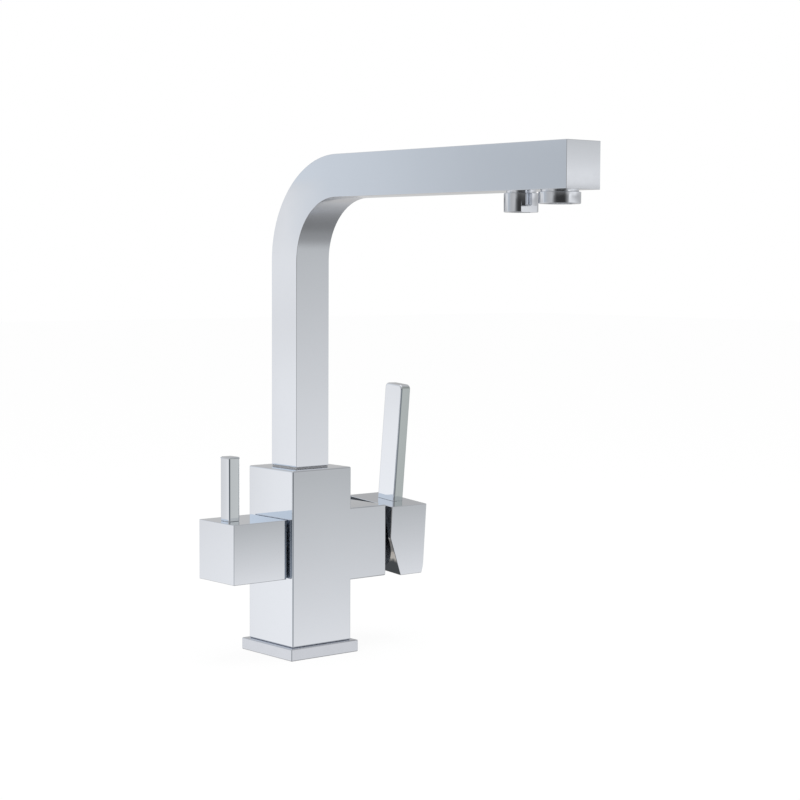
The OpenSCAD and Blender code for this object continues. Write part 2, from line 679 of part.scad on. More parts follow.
// Perforated insert, with its jets in rings round the middle
module outlet_insert(d, drop, rings) translate([0, 0, arm_under - drop + lip_t]) difference() {
    cylinder(r = insert_r(d), h = insert_t);
    for (circle_of = rings, k = [1 : circle_of[0]])
        rotate(k * 360 / circle_of[0]) translate([circle_of[1] * jet_pitch, 0, -overrun])
            cylinder(r = jet_r, h = insert_t + 2 * overrun, $fn = 16);
}
module outlet_washer(d) translate([0, 0, throat_z() - washer_t])
    ring(bush_r(d) - bush_wall - fit, bush_r(d) - bush_wall - throat_in, washer_t);

module mixed_outlet_bush() color("goldenrod") translate([0, mixed_y, 0])
    outlet_bush(aerator_d, bush_r(aerator_d) - bush_wall - throat_in);
module aerator_housing() color("silver") translate([0, mixed_y, 0]) outlet_shell(aerator_d, aerator_drop);
module aerator_insert() color("lightgray") translate([0, mixed_y, 0])
    outlet_insert(aerator_d, aerator_drop, jet_rings);
module aerator_washer() color("black") translate([0, mixed_y, 0]) outlet_washer(aerator_d);
module filtered_outlet_bush() color("goldenrod") translate([0, filtered_y, 0])
    outlet_bush(nozzle_d, tube_d / 2 + fit);
module filter_nozzle() color("silver") translate([0, filtered_y, 0]) difference() {
    outlet_shell(nozzle_d, nozzle_drop);
    for (side = [-1, 1]) rotate(-nozzle_turn) translate([-nozzle_d, side * (nozzle_d - flat_depth) - nozzle_d / 2,
        arm_under - nozzle_drop - overrun]) cube([2 * nozzle_d, nozzle_d, flat_h + overrun]);
}
module filter_nozzle_insert() color("lightgray") translate([0, filtered_y, 0])
    outlet_insert(nozzle_d, nozzle_drop, [jet_rings[0], jet_rings[1], jet_rings[2]]);
module filter_nozzle_washer() color("black") translate([0, filtered_y, 0]) outlet_washer(nozzle_d);

base_plate();
base_seal();
body();
spout_retaining_screw();
spout_glide_ring();
cartridge_base_seals();
cartridge_housing();
cartridge_fixed_disc();
cartridge_nut();
cartridge_dome();
valve_seat_washer();
valve_fixed_disc();
valve_bonnet();
bonnet_seal();
spout_tube();
spout_spigot();
spigot_seals();
filtered_water_tube();
filtered_tube_seal();
filtered_tube_elbow();
mixed_outlet_bush();
aerator_housing();
aerator_insert();
aerator_washer();
filtered_outlet_bush();
filter_nozzle();
filter_nozzle_insert();
filter_nozzle_washer();
cartridge_carrier();
cartridge_pivot_pin();
cartridge_moving_disc();
disc_driver();
cartridge_stem();
mixer_handle();
mixer_lever();
mixer_grub_screw();
valve_spindle();
valve_moving_disc();
spindle_seal();
filter_handle();
filter_lever();
filter_grub_screw();
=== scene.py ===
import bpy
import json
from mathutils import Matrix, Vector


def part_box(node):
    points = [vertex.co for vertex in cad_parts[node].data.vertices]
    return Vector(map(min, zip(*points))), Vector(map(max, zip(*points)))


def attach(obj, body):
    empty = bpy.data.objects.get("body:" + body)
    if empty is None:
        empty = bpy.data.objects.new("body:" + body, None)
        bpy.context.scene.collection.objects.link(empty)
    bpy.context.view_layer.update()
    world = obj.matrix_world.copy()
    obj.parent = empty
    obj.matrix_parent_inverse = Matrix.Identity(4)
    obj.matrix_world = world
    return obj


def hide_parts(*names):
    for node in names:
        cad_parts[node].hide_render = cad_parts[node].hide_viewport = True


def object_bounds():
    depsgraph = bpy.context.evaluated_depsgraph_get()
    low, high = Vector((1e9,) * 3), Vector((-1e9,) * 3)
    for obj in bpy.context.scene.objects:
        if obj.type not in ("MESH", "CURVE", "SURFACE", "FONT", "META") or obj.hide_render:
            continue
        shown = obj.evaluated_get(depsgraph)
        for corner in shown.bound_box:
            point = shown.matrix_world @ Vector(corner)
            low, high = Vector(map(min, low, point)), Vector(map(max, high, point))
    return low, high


bl_info = {
    "name": "Three way kitchen tap",
    "version": (1, 0, 0),
    "blender": (4, 5, 0),
    "location": "3D View > Sidebar > Tap",
    "description": "Chrome kitchen tap of square sections: mixer, filtered water valve and swivel spout",
    "category": "Object",
}

import json
import math

import bmesh
import bpy
from mathutils import Euler, Matrix, Vector

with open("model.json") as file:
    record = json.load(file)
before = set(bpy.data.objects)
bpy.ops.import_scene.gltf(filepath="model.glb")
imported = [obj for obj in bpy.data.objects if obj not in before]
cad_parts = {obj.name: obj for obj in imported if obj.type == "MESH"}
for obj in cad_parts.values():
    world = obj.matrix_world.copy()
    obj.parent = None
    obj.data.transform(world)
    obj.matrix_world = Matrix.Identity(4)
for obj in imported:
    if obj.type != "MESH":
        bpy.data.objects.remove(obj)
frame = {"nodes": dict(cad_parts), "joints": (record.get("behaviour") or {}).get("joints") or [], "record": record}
CAD_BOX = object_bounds()
MOUNTS = {m["name"]: m for m in frame["record"]["mounts"]}
JOINTS = {j["name"]: j for j in frame["joints"]}

X, Y, Z = Vector((1, 0, 0)), Vector((0, 1, 0)), Vector((0, 0, 1))
MM = 0.001
OVERRUN = 1 * MM          # how far a cutter runs past the metal that it opens
NEAR = 1 * MM             # an edge this near to a level belongs to it
UPRIGHT = 5 * MM          # an edge that rises by more than this is an upright one
WELD = 1e-7               # corners nearer than this become one
SPUN_WELD = 1e-6          # the same, where a spun profile closes
SHARP = math.radians(35)  # edges that turn by more than this stay crisp
FLAT = 0.999              # least part of a normal along an axis, for a face square to that axis
SLOPE = 0.8               # least part of the mixer slope's normal to the left
ROUND_SIDES = 96          # sides of the round pieces
BEND_STEPS = 40           # steps of the spout's bend
EDGE_FACETS = 3           # facets across a rounded edge
LEVER_FACETS = 4          # facets across the edges of a lever
FOOT_FACETS = 2           # facets across the edge round a lever's foot
SHADE = "polish_shade"    # attribute that says how deep the painted shade of a front face is at a point
FOOT_SHADE = 0.1          # depth of the painted shade at the foot of the spout's column
BEND_SHADE = 0.85         # depth of the painted shade where the column starts to bend
ARM_SHADE = 0.7           # depth of the painted shade at the top of the spout's end face
MIXER_LEVER_SHADE = 1.0   # depth of the painted shade on the front of the mixer lever
FILTER_LEVER_SHADE = 0.6  # depth of the painted shade on the front of the filter lever


# Sizes and finishes

def length(name, description, default):
    return bpy.props.FloatProperty(
        name=name, description=description, default=default, unit="LENGTH", min=0.0)


def colour(name, description, default):
    return bpy.props.FloatVectorProperty(
        name=name, description=description, default=default, subtype="COLOR", size=3, min=0.0, max=1.0)


def share(name, description, default):
    return bpy.props.FloatProperty(name=name, description=description, default=default, min=0.0, max=1.0)


def angle(name, description, degrees):
    return bpy.props.FloatProperty(
        name=name, description=description, default=math.radians(degrees), subtype="ANGLE")


class TapSizes(bpy.types.PropertyGroup):
    """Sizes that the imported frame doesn't give by itself."""
    body_edge: length("Body edges", "Radius of the body's polished edges", 0.9 * MM)
    spout_edge: length("Spout edges", "Radius of the spout's polished edges", 0.25 * MM)
    block_edge: length("Block edges", "Radius of the edges of both handle blocks", 0.4 * MM)
    lever_edge: length("Lever edges", "Radius of the edges of both levers", 1.15 * MM)
    lever_foot: length("Lever foot", "Radius of the edge round the foot of each lever", 0.35 * MM)
    lever_cap: length("Filter lever top", "Radius of the edges round the filter lever's top", 1.3 * MM)
    base_edge: length("Base edge", "Radius of the base plate's edges", 0.6 * MM)
    outlet_edge: length("Outlet rims", "Radius at the lower rim of each outlet", 0.5 * MM)
    rim: length("Hole rims", "Chamfer at the mouth of each screw hole", 0.35 * MM)
    fit: length("Fit", "Gap round a piece that is screwed or pressed in", 0.05 * MM)
    running_fit: length("Running fit", "Gap round the spigot, which turns in the body", 0.06 * MM)
    boss_height: length("Boss height", "Height of the cartridge boss and the mixer block", 44.8 * MM)
    foot_length: length("Foot length", "Length of the body's round foot inside the plate", 4.5 * MM)
    foot_radius: length("Foot radius", "Radius of the body's round foot", 19.4 * MM)
    seal_width: length("Seal width", "Width of the rubber seal's band in the base plate", 3 * MM)
    cavity_radius: length("Hose cavity radius", "Radius of the open space for the hoses", 17 * MM)
    stud_depth: length("Stud holes", "Depth of the two stud holes", 14 * MM)
    chamber: length("Spigot chamber", "Space for water under the spout's spigot", 2 * MM)
    ring_gap: length("Glide ring gap", "Gap between the ring and the body's bore", 0.3 * MM)
    bend_radius: length("Bend radius", "Radius on the inside of the spout's bend", 37.5 * MM)
    spout_wall: length("Spout wall", "Wall of the spout", 2 * MM)
    knee: length("Mixer knee", "Height above the axis at which the mixer block starts to slope", 2.4 * MM)
    slope_run: length("Mixer slope", "How far the slope has run back at the bottom of the block", 9.8 * MM)
    sweep_height: length("Mixer sweep height", "Height over which the outer face is drawn in", 8 * MM)
    sweep_in: length("Mixer sweep", "How far the outer face is drawn in at the bottom", 1.1 * MM)
    pocket_radius: length("Mixer pocket", "Radius of the hollow in the mixer block", 20.3 * MM)
    pocket_depth: length("Mixer pocket floor", "From the stem's pivot to the hollow's floor", 21 * MM)
    dome_radius: length("Dome radius", "Radius of the domed cover about the stem's pivot", 20 * MM)
    dome_wall: length("Dome wall", "Wall of the domed cover", 1.2 * MM)
    dome_skirt: length("Dome skirt", "Radius of the skirt that snaps into the nut", 15.3 * MM)
    stem_width: length("Stem width", "Width of the cartridge's square stem", 8 * MM)
    grub_radius: length("Grub screw holes", "Radius of the grub screw holes under the handles", 2.5 * MM)
    lever_round: length("Mixer lever corners", "Radius of the mixer lever's two top corners", 3 * MM)
    lever_width: length("Mixer lever width", "Width of the mixer lever, front to back", 16.5 * MM)
    lever_thickness: length("Mixer lever thickness", "Thickness of the mixer lever", 7.7 * MM)
    lever_inset: length("Mixer lever inset", "Distance from the block's outer face to the lever", 7.7 * MM)
    lever_rise: length("Mixer lever rise", "Height of the mixer lever's tip above the axis", 97 * MM)
    lever_lean: angle("Mixer lever lean", "Outward lean of the mixer lever", 1.2)
    rest_turn: angle("Mixer turn", "Angle by which the mixer handle stands forward of upright", 4.3)
    filter_pocket: length("Filter pocket", "Radius of the hollow in the filter block", 10.8 * MM)
    pocket_gap: length("Filter pocket floor", "Gap between the hollow's floor and the bonnet", 1 * MM)
    spindle_radius: length("Spindle", "Radius of the valve's spindle", 3.5 * MM)
    neck_in: length("Outlet neck inset", "How far the bush is narrower than its outlet", 1.1 * MM)
    bush_wall: length("Outlet bush wall", "Wall of each bush round its thread", 1.5 * MM)
    thread_length: length("Outlet thread", "Length of each outlet's thread", 4 * MM)
    throat_in: length("Outlet throat", "How far the throat is narrower than the thread", 1.6 * MM)
    lip: length("Outlet lip", "Lip that holds an outlet's insert", 0.8 * MM)
    flat_height: length("Nozzle flats", "Height of the nozzle's spanner flats", 3.4 * MM)
    flat_depth: length("Nozzle flat depth", "Depth of the nozzle's spanner flats", 1.45 * MM)
    nozzle_turn: angle("Nozzle turn", "Angle at which the screwed-in nozzle's flats come to rest", -10)


class TapFinishes(bpy.types.PropertyGroup):
    """Colours, painted light and shade, and polish."""
    polished_chrome: colour("Chrome", "Colour of the chrome plate", (0.81, 0.835, 0.885))
    # painted shade: chrome darker near the top of each front face, in place of a reflection that darkens upwards
    chrome_shade: colour("Chrome shade", "Chrome near the top of a front face", (0.509, 0.532, 0.562))
    # the lever chromes are a lighter copy of the chrome on the mixer lever and a darker one on the filter lever:
    # painted light and painted shade in place of their reflections
    lever_chrome: colour("Lever chrome", "Chrome plate of the mixer lever", (0.85, 0.875, 0.925))
    short_lever_chrome: colour(
        "Short lever chrome", "Chrome plate of the filter lever", (0.755, 0.78, 0.825))
    # painted shade on the front of both levers, a greenish painted reflection
    lever_shade: colour("Lever shade", "Chrome on the front of the levers", (0.48, 0.52, 0.52))
    # the base plate's chrome is a darker copy of the chrome, painted shade in place of a darker reflection; it is
    # also rougher
    soft_chrome: colour("Base chrome", "Chrome of the base plate", (0.69, 0.71, 0.76))
    chrome_roughness: share("Chrome roughness", "Roughness of the chrome plate", 0.04)
    bend_softness: share("Bend softness", "How much rougher the chrome is in the middle of a bend", 0.22)
    chrome_cloud: share("Chrome cloud", "How much the plate's tone varies over a face", 0.06)
    # painted lit reflection on the upper part of the mixer's slope, and painted shadow on its lower part
    slope_light: colour("Slope, upper part", "Chrome of the mixer block's slope", (0.85, 0.81, 0.76))
    slope_painted_shadow: colour("Slope, lower part", "Deep tone at the bottom of that slope", (0.09, 0.10, 0.11))
    # the face is unpolished; its blue tint is a painted reflection that gives the gap beside the body its navy
    # tone
    satin_plate: colour("Satin plate", "Unpolished inner face of the filter block", (0.50, 0.58, 0.68))
    raw_casting: colour(
        "Raw casting", "Hollows of both blocks, and the mixer block's inner face", (0.13, 0.145, 0.165))
    turned_brass: colour("Brass", "Turned brass of the hidden fittings", (0.72, 0.52, 0.24))
    stainless_steel: colour("Steel", "Grub screws, stem and pin", (0.42, 0.42, 0.43))
    black_rubber: colour("Rubber", "Seals and washers", (0.022, 0.022, 0.024))
    white_plastic: colour("White plastic", "Cartridge and water tube", (0.78, 0.78, 0.75))
    # partly the plastic's own tone, partly painted light: the glide ring is paler to lift the shade in the slit
    # under the spout's column
    grey_plastic: colour(
        "Grey plastic", "Glide ring, carrier, disc driver and both outlets' inserts", (0.86, 0.90, 0.95))
    ceramic: colour("Ceramic", "Discs of the cartridge and the valve", (0.83, 0.80, 0.72))


# Materials

NOISE_LOW, NOISE_HIGH = 0.3, 0.7            # noise values that count as its least and its most
POLISH_SCALE = 180.0                        # fineness of the haze in polished plate
SWELL_SCALE, SWELL = 30.0, 0.01 * MM        # fineness and height of the swell in polished plate
FRONT_START, FRONT_FULL = 0.6, 0.98         # parts of the normal to the front between which the painted shade grows
TONE_SCALE, TONE_DETAIL = 28.0, 1.5         # fineness of the change of tone over a plated face
SLOPE_ROUGHNESS, SLOPE_SPREAD = 0.15, 0.05  # roughness of the mixer's slope, and how much it varies
WAVE_SCALE, WAVE_DEPTH = 250.0, 0.08        # fineness and depth of the wavy line on that slope
LINE_LOW, LINE_HIGH = 0.21, 0.27            # heights between which that line goes from painted shadow to painted light


def node_adder(tree):
    """A function that adds a node to the tree, sets its values and links the sockets that feed it."""
    def add(kind, links=(), **values):
        node = tree.nodes.new(kind)
        for key, value in values.items():
            if key in node.inputs:
                node.inputs[key].default_value = value
            else:
                setattr(node, key, value)
        for socket, source in links:
            tree.links.new(source, node.inputs[socket])
        return node

    return add


def node_material(name):
    """A new material with its Principled shader, and a function that adds nodes to it."""
    material = bpy.data.materials.new(name)
    material.use_nodes = True
    tree = material.node_tree
    return material, tree, tree.nodes["Principled BSDF"], node_adder(tree)


def map_range(add, source, low, high, to_low=0.0, to_high=1.0, kind="LINEAR"):
    """Turns values from low to high into values from to_low to to_high."""
    spans = {"From Min": low, "From Max": high, "To Min": to_low, "To Max": to_high}
    node = add("ShaderNodeMapRange", [("Value", source)], interpolation_type=kind, **spans)
    return node.outputs["Result"]


def grain(add, tree, shader, roughness, spread, scale, bump_height, bump_scale, bend_softness=0.0):
    """Uneven roughness and a shallow bump, both from noise on Object coordinates."""
    place = add("ShaderNodeTexCoord")
    cloud = add("ShaderNodeTexNoise", [("Vector", place.outputs["Object"])], Scale=scale, Detail=4.0)
    polish = map_range(add, cloud.outputs["Fac"], NOISE_LOW, NOISE_HIGH,
                       max(0.0, roughness - spread), roughness + spread)
    if bend_softness:
        # a bend, which faces two ways at once, is polished less than the flat faces. The product of
        # the normal's two parts is at most a half, in the middle of the bend
        normal = add("ShaderNodeSeparateXYZ", [("Vector", place.outputs["Normal"])])
        bent = add("ShaderNodeMath", [(0, normal.outputs["Y"]), (1, normal.outputs["Z"])],
                   operation="MULTIPLY", use_clamp=True)
        soft = add("ShaderNodeMath", [(0, bent.outputs["Value"]), (2, polish)], operation="MULTIPLY_ADD")
        soft.inputs[1].default_value = 2 * bend_softness
        polish = soft.outputs["Value"]
    tree.links.new(polish, shader.inputs["Roughness"])
    swell = add("ShaderNodeTexNoise", [("Vector", place.outputs["Object"])], Scale=bump_scale, Detail=2.0)
    bump = add("ShaderNodeBump", [("Height", swell.outputs["Fac"])], Strength=1.0, Distance=bump_height)
    tree.links.new(bump.outputs["Normal"], shader.inputs["Normal"])
    return place


def tone_mix(add, tree, shader, factor, plate, shade):
    """Base colour that goes from the plate's to the shade's: painted shade on chrome, painted shadow and light on
    the mixer's slope.
    """
    tone = add("ShaderNodeMix", [("Factor", factor)], data_type="RGBA")
    # Mix has sockets of the same names for each data type, so the colour ones are picked by type
    sockets = {s.name: s for s in tone.inputs if s.type == "RGBA"}
    sockets["A"].default_value = (*plate, 1)
    sockets["B"].default_value = (*shade, 1)
    tree.links.new([s for s in tone.outputs if s.type == "RGBA"][0], shader.inputs["Base Color"])


def chrome(finish, name, shade, dullness):
    """Mirror plate. Each front face has painted shade near its top, by its shade attribute, in place of a
    reflection that darkens upwards.
    """
    material, tree, shader, add = node_material(name)
    roughness = dullness * finish.chrome_roughness
    place = grain(add, tree, shader, roughness, roughness / 2, POLISH_SCALE, SWELL, SWELL_SCALE,
                  finish.bend_softness)
    shader.inputs["Metallic"].default_value = 1.0
    height = add("ShaderNodeAttribute", attribute_name=SHADE)
    facing = add("ShaderNodeVectorMath", [(0, place.outputs["Normal"])], operation="DOT_PRODUCT")
    facing.inputs[1].default_value = -Y
    front = map_range(add, facing.outputs["Value"], FRONT_START, FRONT_FULL)
    haze = add("ShaderNodeTexNoise", [("Vector", place.outputs["Object"])],
               Scale=TONE_SCALE, Detail=TONE_DETAIL)
    cloud = add("ShaderNodeMath", [(0, haze.outputs["Fac"])], operation="MULTIPLY")
    cloud.inputs[1].default_value = finish.chrome_cloud
    depth = add("ShaderNodeMath", [(0, height.outputs["Fac"]), (1, front), (2, cloud.outputs["Value"])],
                operation="MULTIPLY_ADD")
    tone_mix(add, tree, shader, depth.outputs["Value"], getattr(finish, name), getattr(finish, shade))
    return material


def slope_plate(finish):
    """Chrome of the mixer's slope: painted shadow up to a wavy line near its bottom and painted lit reflection
    above it, by the shade attribute.
    """
    material, tree, shader, add = node_material("slope_plate")
    place = grain(add, tree, shader, SLOPE_ROUGHNESS, SLOPE_SPREAD, POLISH_SCALE, SWELL, SWELL_SCALE)
    shader.inputs["Metallic"].default_value = 1.0
    height = add("ShaderNodeAttribute", attribute_name=SHADE)
    wave = add("ShaderNodeTexNoise", [("Vector", place.outputs["Object"])], Scale=WAVE_SCALE, Detail=1.0)
    line = add("ShaderNodeMath", [(0, wave.outputs["Fac"]), (2, height.outputs["Fac"])],
               operation="MULTIPLY_ADD")
    line.inputs[1].default_value = WAVE_DEPTH
    upper = map_range(add, line.outputs["Value"], LINE_LOW, LINE_HIGH, kind="SMOOTHSTEP")
    tone_mix(add, tree, shader, upper, finish.slope_painted_shadow, finish.slope_light)
    return material


def mottled(finish, name, roughness, metallic, scale, bump_height, change, coat):
    """A plain finish whose colour, roughness and surface all vary a little."""
    material, tree, shader, add = node_material(name)
    place = grain(add, tree, shader, roughness, roughness / 4, scale, bump_height, scale * 2)
    shader.inputs["Metallic"].default_value = metallic
    shader.inputs["Coat Weight"].default_value = coat
    cloud = add("ShaderNodeTexNoise", [("Vector", place.outputs["Object"])], Scale=scale / 2, Detail=5.0)
    ramp = add("ShaderNodeValToRGB", [("Fac", cloud.outputs["Fac"])])
    for stop, factor in zip(ramp.color_ramp.elements, (1 - change, 1 + change)):
        stop.color = (*[min(1.0, c * factor) for c in getattr(finish, name)], 1)
    ramp.color_ramp.elements[0].position = NOISE_LOW
    ramp.color_ramp.elements[1].position = NOISE_HIGH
    tree.links.new(ramp.outputs["Color"], shader.inputs["Base Color"])
    return material


# painted shade, and how many times the chrome's roughness
CHROME_FINISHES = {
    "polished_chrome": ("chrome_shade", 1),
    "lever_chrome": ("lever_shade", 1),
    "short_lever_chrome": ("lever_shade", 1),
    "soft_chrome": ("chrome_shade", 3),
}
# roughness, metallic, fineness of the grain, height of its bumps, change of tone, weight of a clear coat
PLAIN_FINISHES = {
    "satin_plate": (0.6, 1.0, 400.0, 0.01 * MM, 0.05, 0.0),
    "raw_casting": (0.55, 0.8, 900.0, 0.12 * MM, 0.12, 0.0),
    "turned_brass": (0.28, 1.0, 500.0, 0.02 * MM, 0.12, 0.0),
    "stainless_steel": (0.32, 1.0, 700.0, 0.02 * MM, 0.12, 0.0),
    "black_rubber": (0.7, 0.0, 1200.0, 0.03 * MM, 0.12, 0.0),
    "white_plastic": (0.42, 0.0, 600.0, 0.01 * MM, 0.04, 0.0),
    "grey_plastic": (0.4, 0.0, 600.0, 0.01 * MM, 0.06, 0.0),
    "ceramic": (0.16, 0.0, 800.0, 0.005 * MM, 0.03, 0.3),
}


def finish_material(name):
    """The material of that name, made once."""
    finish = bpy.context.scene.tap_finishes
    if name in bpy.data.materials:
        return bpy.data.materials[name]
    if name == "slope_plate":
        return slope_plate(finish)
    if name in CHROME_FINISHES:
        return chrome(finish, name, *CHROME_FINISHES[name])
    return mottled(finish, name, *PLAIN_FINISHES[name])


# Shaping

def box_shape(low, high):
    """A box between two corners."""
    shape = bmesh.new()
    low, high = Vector(low), Vector(high)
    size = Matrix.Diagonal((*(high - low), 1))
    bmesh.ops.create_cube(shape, size=1, matrix=Matrix.Translation((low + high) / 2) @ size)
    return shape


def prism(points, run):
    """A flat outline of points in space, extruded along the vector run."""
    shape = bmesh.new()
    shape.faces.new([shape.verts.new(p) for p in points])
    pushed = bmesh.ops.extrude_face_region(shape, geom=shape.faces[:])["geom"]
    bmesh.ops.translate(shape, vec=run, verts=[v for v in pushed if isinstance(v, bmesh.types.BMVert)])
    bmesh.ops.recalc_face_normals(shape, faces=shape.faces[:])
    return shape


def rod(start, end, radius, end_radius=None):
    """A round rod between two points, or a cone where its end has a radius of its own."""
    shape = bmesh.new()
    start, end = Vector(start), Vector(end)
    along = end - start
    turn = along.to_track_quat("Z", "Y").to_matrix().to_4x4()
    bmesh.ops.create_cone(
        shape, cap_ends=True, segments=ROUND_SIDES, radius1=radius, radius2=end_radius or radius,
        depth=along.length, matrix=Matrix.Translation((start + end) / 2) @ turn)
    return shape


def screw_hole(mouth, inward, depth, radius, rim):
    """Cutters for a hole with a chamfered mouth: the hole, and its chamfer."""
    mouth, inward = Vector(mouth), Vector(inward)
    return (rod(mouth - inward * OVERRUN, mouth + inward * depth, radius),
            rod(mouth - inward * OVERRUN, mouth + inward * rim, radius + rim + OVERRUN, radius))


def lathe(profile, centre, axis):
    """A closed profile of (radius, height) pairs, spun into a ring or a disc about an axis."""
    shape = bmesh.new()
    axis = Vector(axis)
    out = axis.orthogonal().normalized()
    verts = [shape.verts.new(Vector(centre) + out * r + axis * h) for r, h in profile]
    edges = [shape.edges.new((a, b)) for a, b in zip(verts, verts[1:] + verts[:1])]
    bmesh.ops.spin(
        shape, geom=verts + edges, cent=centre, axis=axis, dvec=(0, 0, 0), angle=2 * math.pi,
        steps=ROUND_SIDES, use_merge=True, use_duplicate=False)
    bmesh.ops.remove_doubles(shape, verts=shape.verts[:], dist=SPUN_WELD)
    bmesh.ops.dissolve_degenerate(shape, edges=shape.edges[:], dist=WELD)
    bmesh.ops.recalc_face_normals(shape, faces=shape.faces[:])
    return shape


def joined(*shapes):
    """Several shapes as one."""
    whole = shapes[0]
    for other in shapes[1:]:
        part = bpy.data.meshes.new("part")
        other.to_mesh(part)
        other.free()
        whole.from_mesh(part)
        bpy.data.meshes.remove(part)
    return whole


def soften(shape, radius, where=lambda edge: True, segments=EDGE_FACETS, clamp=True):
    """Rounds the outer edges of a shape, or those that the function where picks."""
    shape.normal_update()
    edges = [e for e in shape.edges
             if e.is_manifold and e.is_convex and e.calc_face_angle() > SHARP and where(e)]
    bmesh.ops.bevel(
        shape, geom=edges, offset=radius, offset_type="OFFSET", segments=segments, profile=0.5,
        affect="EDGES", clamp_overlap=clamp, material=-1)
    return shape


def arc(centre, radius, start, end, steps):
    """Points of an arc in a plane, as pairs. Angles are in degrees."""
    turns = [math.radians(start + (end - start) * k / steps) for k in range(steps + 1)]
    return [(centre[0] + radius * math.cos(t), centre[1] + radius * math.sin(t)) for t in turns]


def mesh_object(shape, name, *finishes, inner=None):
    """An object of a shape. The function inner gives the number of a face's finish, counted from zero."""
    mesh = bpy.data.meshes.new(name)
    if inner:
        for face in shape.faces:
            face.material_index = inner(face)
    shape.to_mesh(mesh)
    shape.free()
    piece = bpy.data.objects.new(name, mesh)
    bpy.context.scene.collection.objects.link(piece)
    for finish in finishes:
        mesh.materials.append(finish_material(finish))
    return piece


def combine(piece, shape, operation, material=None):
    """Cuts a shape out of a piece, or adds it. A cutter's own material lines the hole that it makes."""
    cutter = mesh_object(shape, "cutter", material or piece.data.materials[0].name)
    step = piece.modifiers.new("step", "BOOLEAN")
    step.operation, step.object, step.solver, step.material_mode = operation, cutter, "EXACT", "TRANSFER"
    bpy.context.view_layer.update()
    done = bpy.data.meshes.new_from_object(piece.evaluated_get(bpy.context.evaluated_depsgraph_get()))
    piece.modifiers.remove(step)
    old, piece.data = piece.data, done
    done.name = old.name
    bpy.data.meshes.remove(old)
    bpy.data.objects.remove(cutter)


def complete(piece, body, node, shade=None):
    """Welds a piece, sets its normals and its painted shade, parents it to its body and hides its node."""
    shape = bmesh.new()
    shape.from_mesh(piece.data)
    bmesh.ops.remove_doubles(shape, verts=shape.verts[:], dist=WELD)
    layer = shape.verts.layers.float.new(SHADE)
    for vert in shape.verts:
        vert[layer] = min(1.0, max(0.0, shade(vert.co))) if shade else 0.0
    for face in shape.faces:
        face.smooth = True
    for edge in shape.edges:
        edge.smooth = edge.is_manifold and edge.calc_face_angle(0.0) < SHARP
    shape.to_mesh(piece.data)
    shape.free()
    normals = piece.modifiers.new("even_normals", "WEIGHTED_NORMAL")
    normals.keep_sharp, normals.weight = True, 100
    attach(piece, body)
    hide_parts(node)


def painted_shade_rising(low, high):
    """Depth of the painted shade, which grows from the bottom of a face to its top."""
    return lambda point: (point.z - low) / (high - low)


# Places from the frame

def axis_height():
    """Height of both handle axes."""
    return JOINTS["mixer_flow"]["pos_m"][2]


def on_axis(x):
    return (x, 0, axis_height())


def round_reach(node):
    """Radius of a node that is round about a handle axis."""
    low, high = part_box(node)
    return (high.z - low.z) / 2


def middle(node):
    low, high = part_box(node)
    return (low + high) / 2


def mixer_pose(shape, sizes):
    """Turns a shape that was drawn upright about the handle axis into the handle's rest pose."""
    bmesh.ops.rotate(
        shape, verts=shape.verts[:], cent=on_axis(0), matrix=Matrix.Rotation(sizes.rest_turn, 3, "X"))
    return shape


# Pieces

class TapOperator:
    """What the operators share: each builds its pieces from the scene's sizes."""
    bl_options = {"REGISTER", "UNDO"}

    def execute(self, context):
        self.build(context.scene.tap_sizes)
        return {"FINISHED"}


class TAP_OT_base(TapOperator, bpy.types.Operator):
    """Square base plate with its hole for the body's foot and the hoses"""
    bl_idname = "tap.base"
    bl_label = "Base plate"

    def build(self, sizes):
        low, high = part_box("base_plate")
        plate = soften(box_shape(low, high), sizes.base_edge)
        piece = mesh_object(plate, "base_plate_polished", "soft_chrome")
        combine(piece, rod((0, 0, low.z - OVERRUN), (0, 0, high.z + OVERRUN), sizes.foot_radius),
                "DIFFERENCE", "turned_brass")
        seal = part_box("base_seal")[1]
        inside = seal.x - sizes.seal_width
        section = [(inside, -OVERRUN), (seal.x, -OVERRUN), (seal.x, seal.z), (inside, seal.z)]
        combine(piece, lathe(section, (0, 0, 0), Z), "DIFFERENCE", "turned_brass")
        complete(piece, "root", "base_plate")


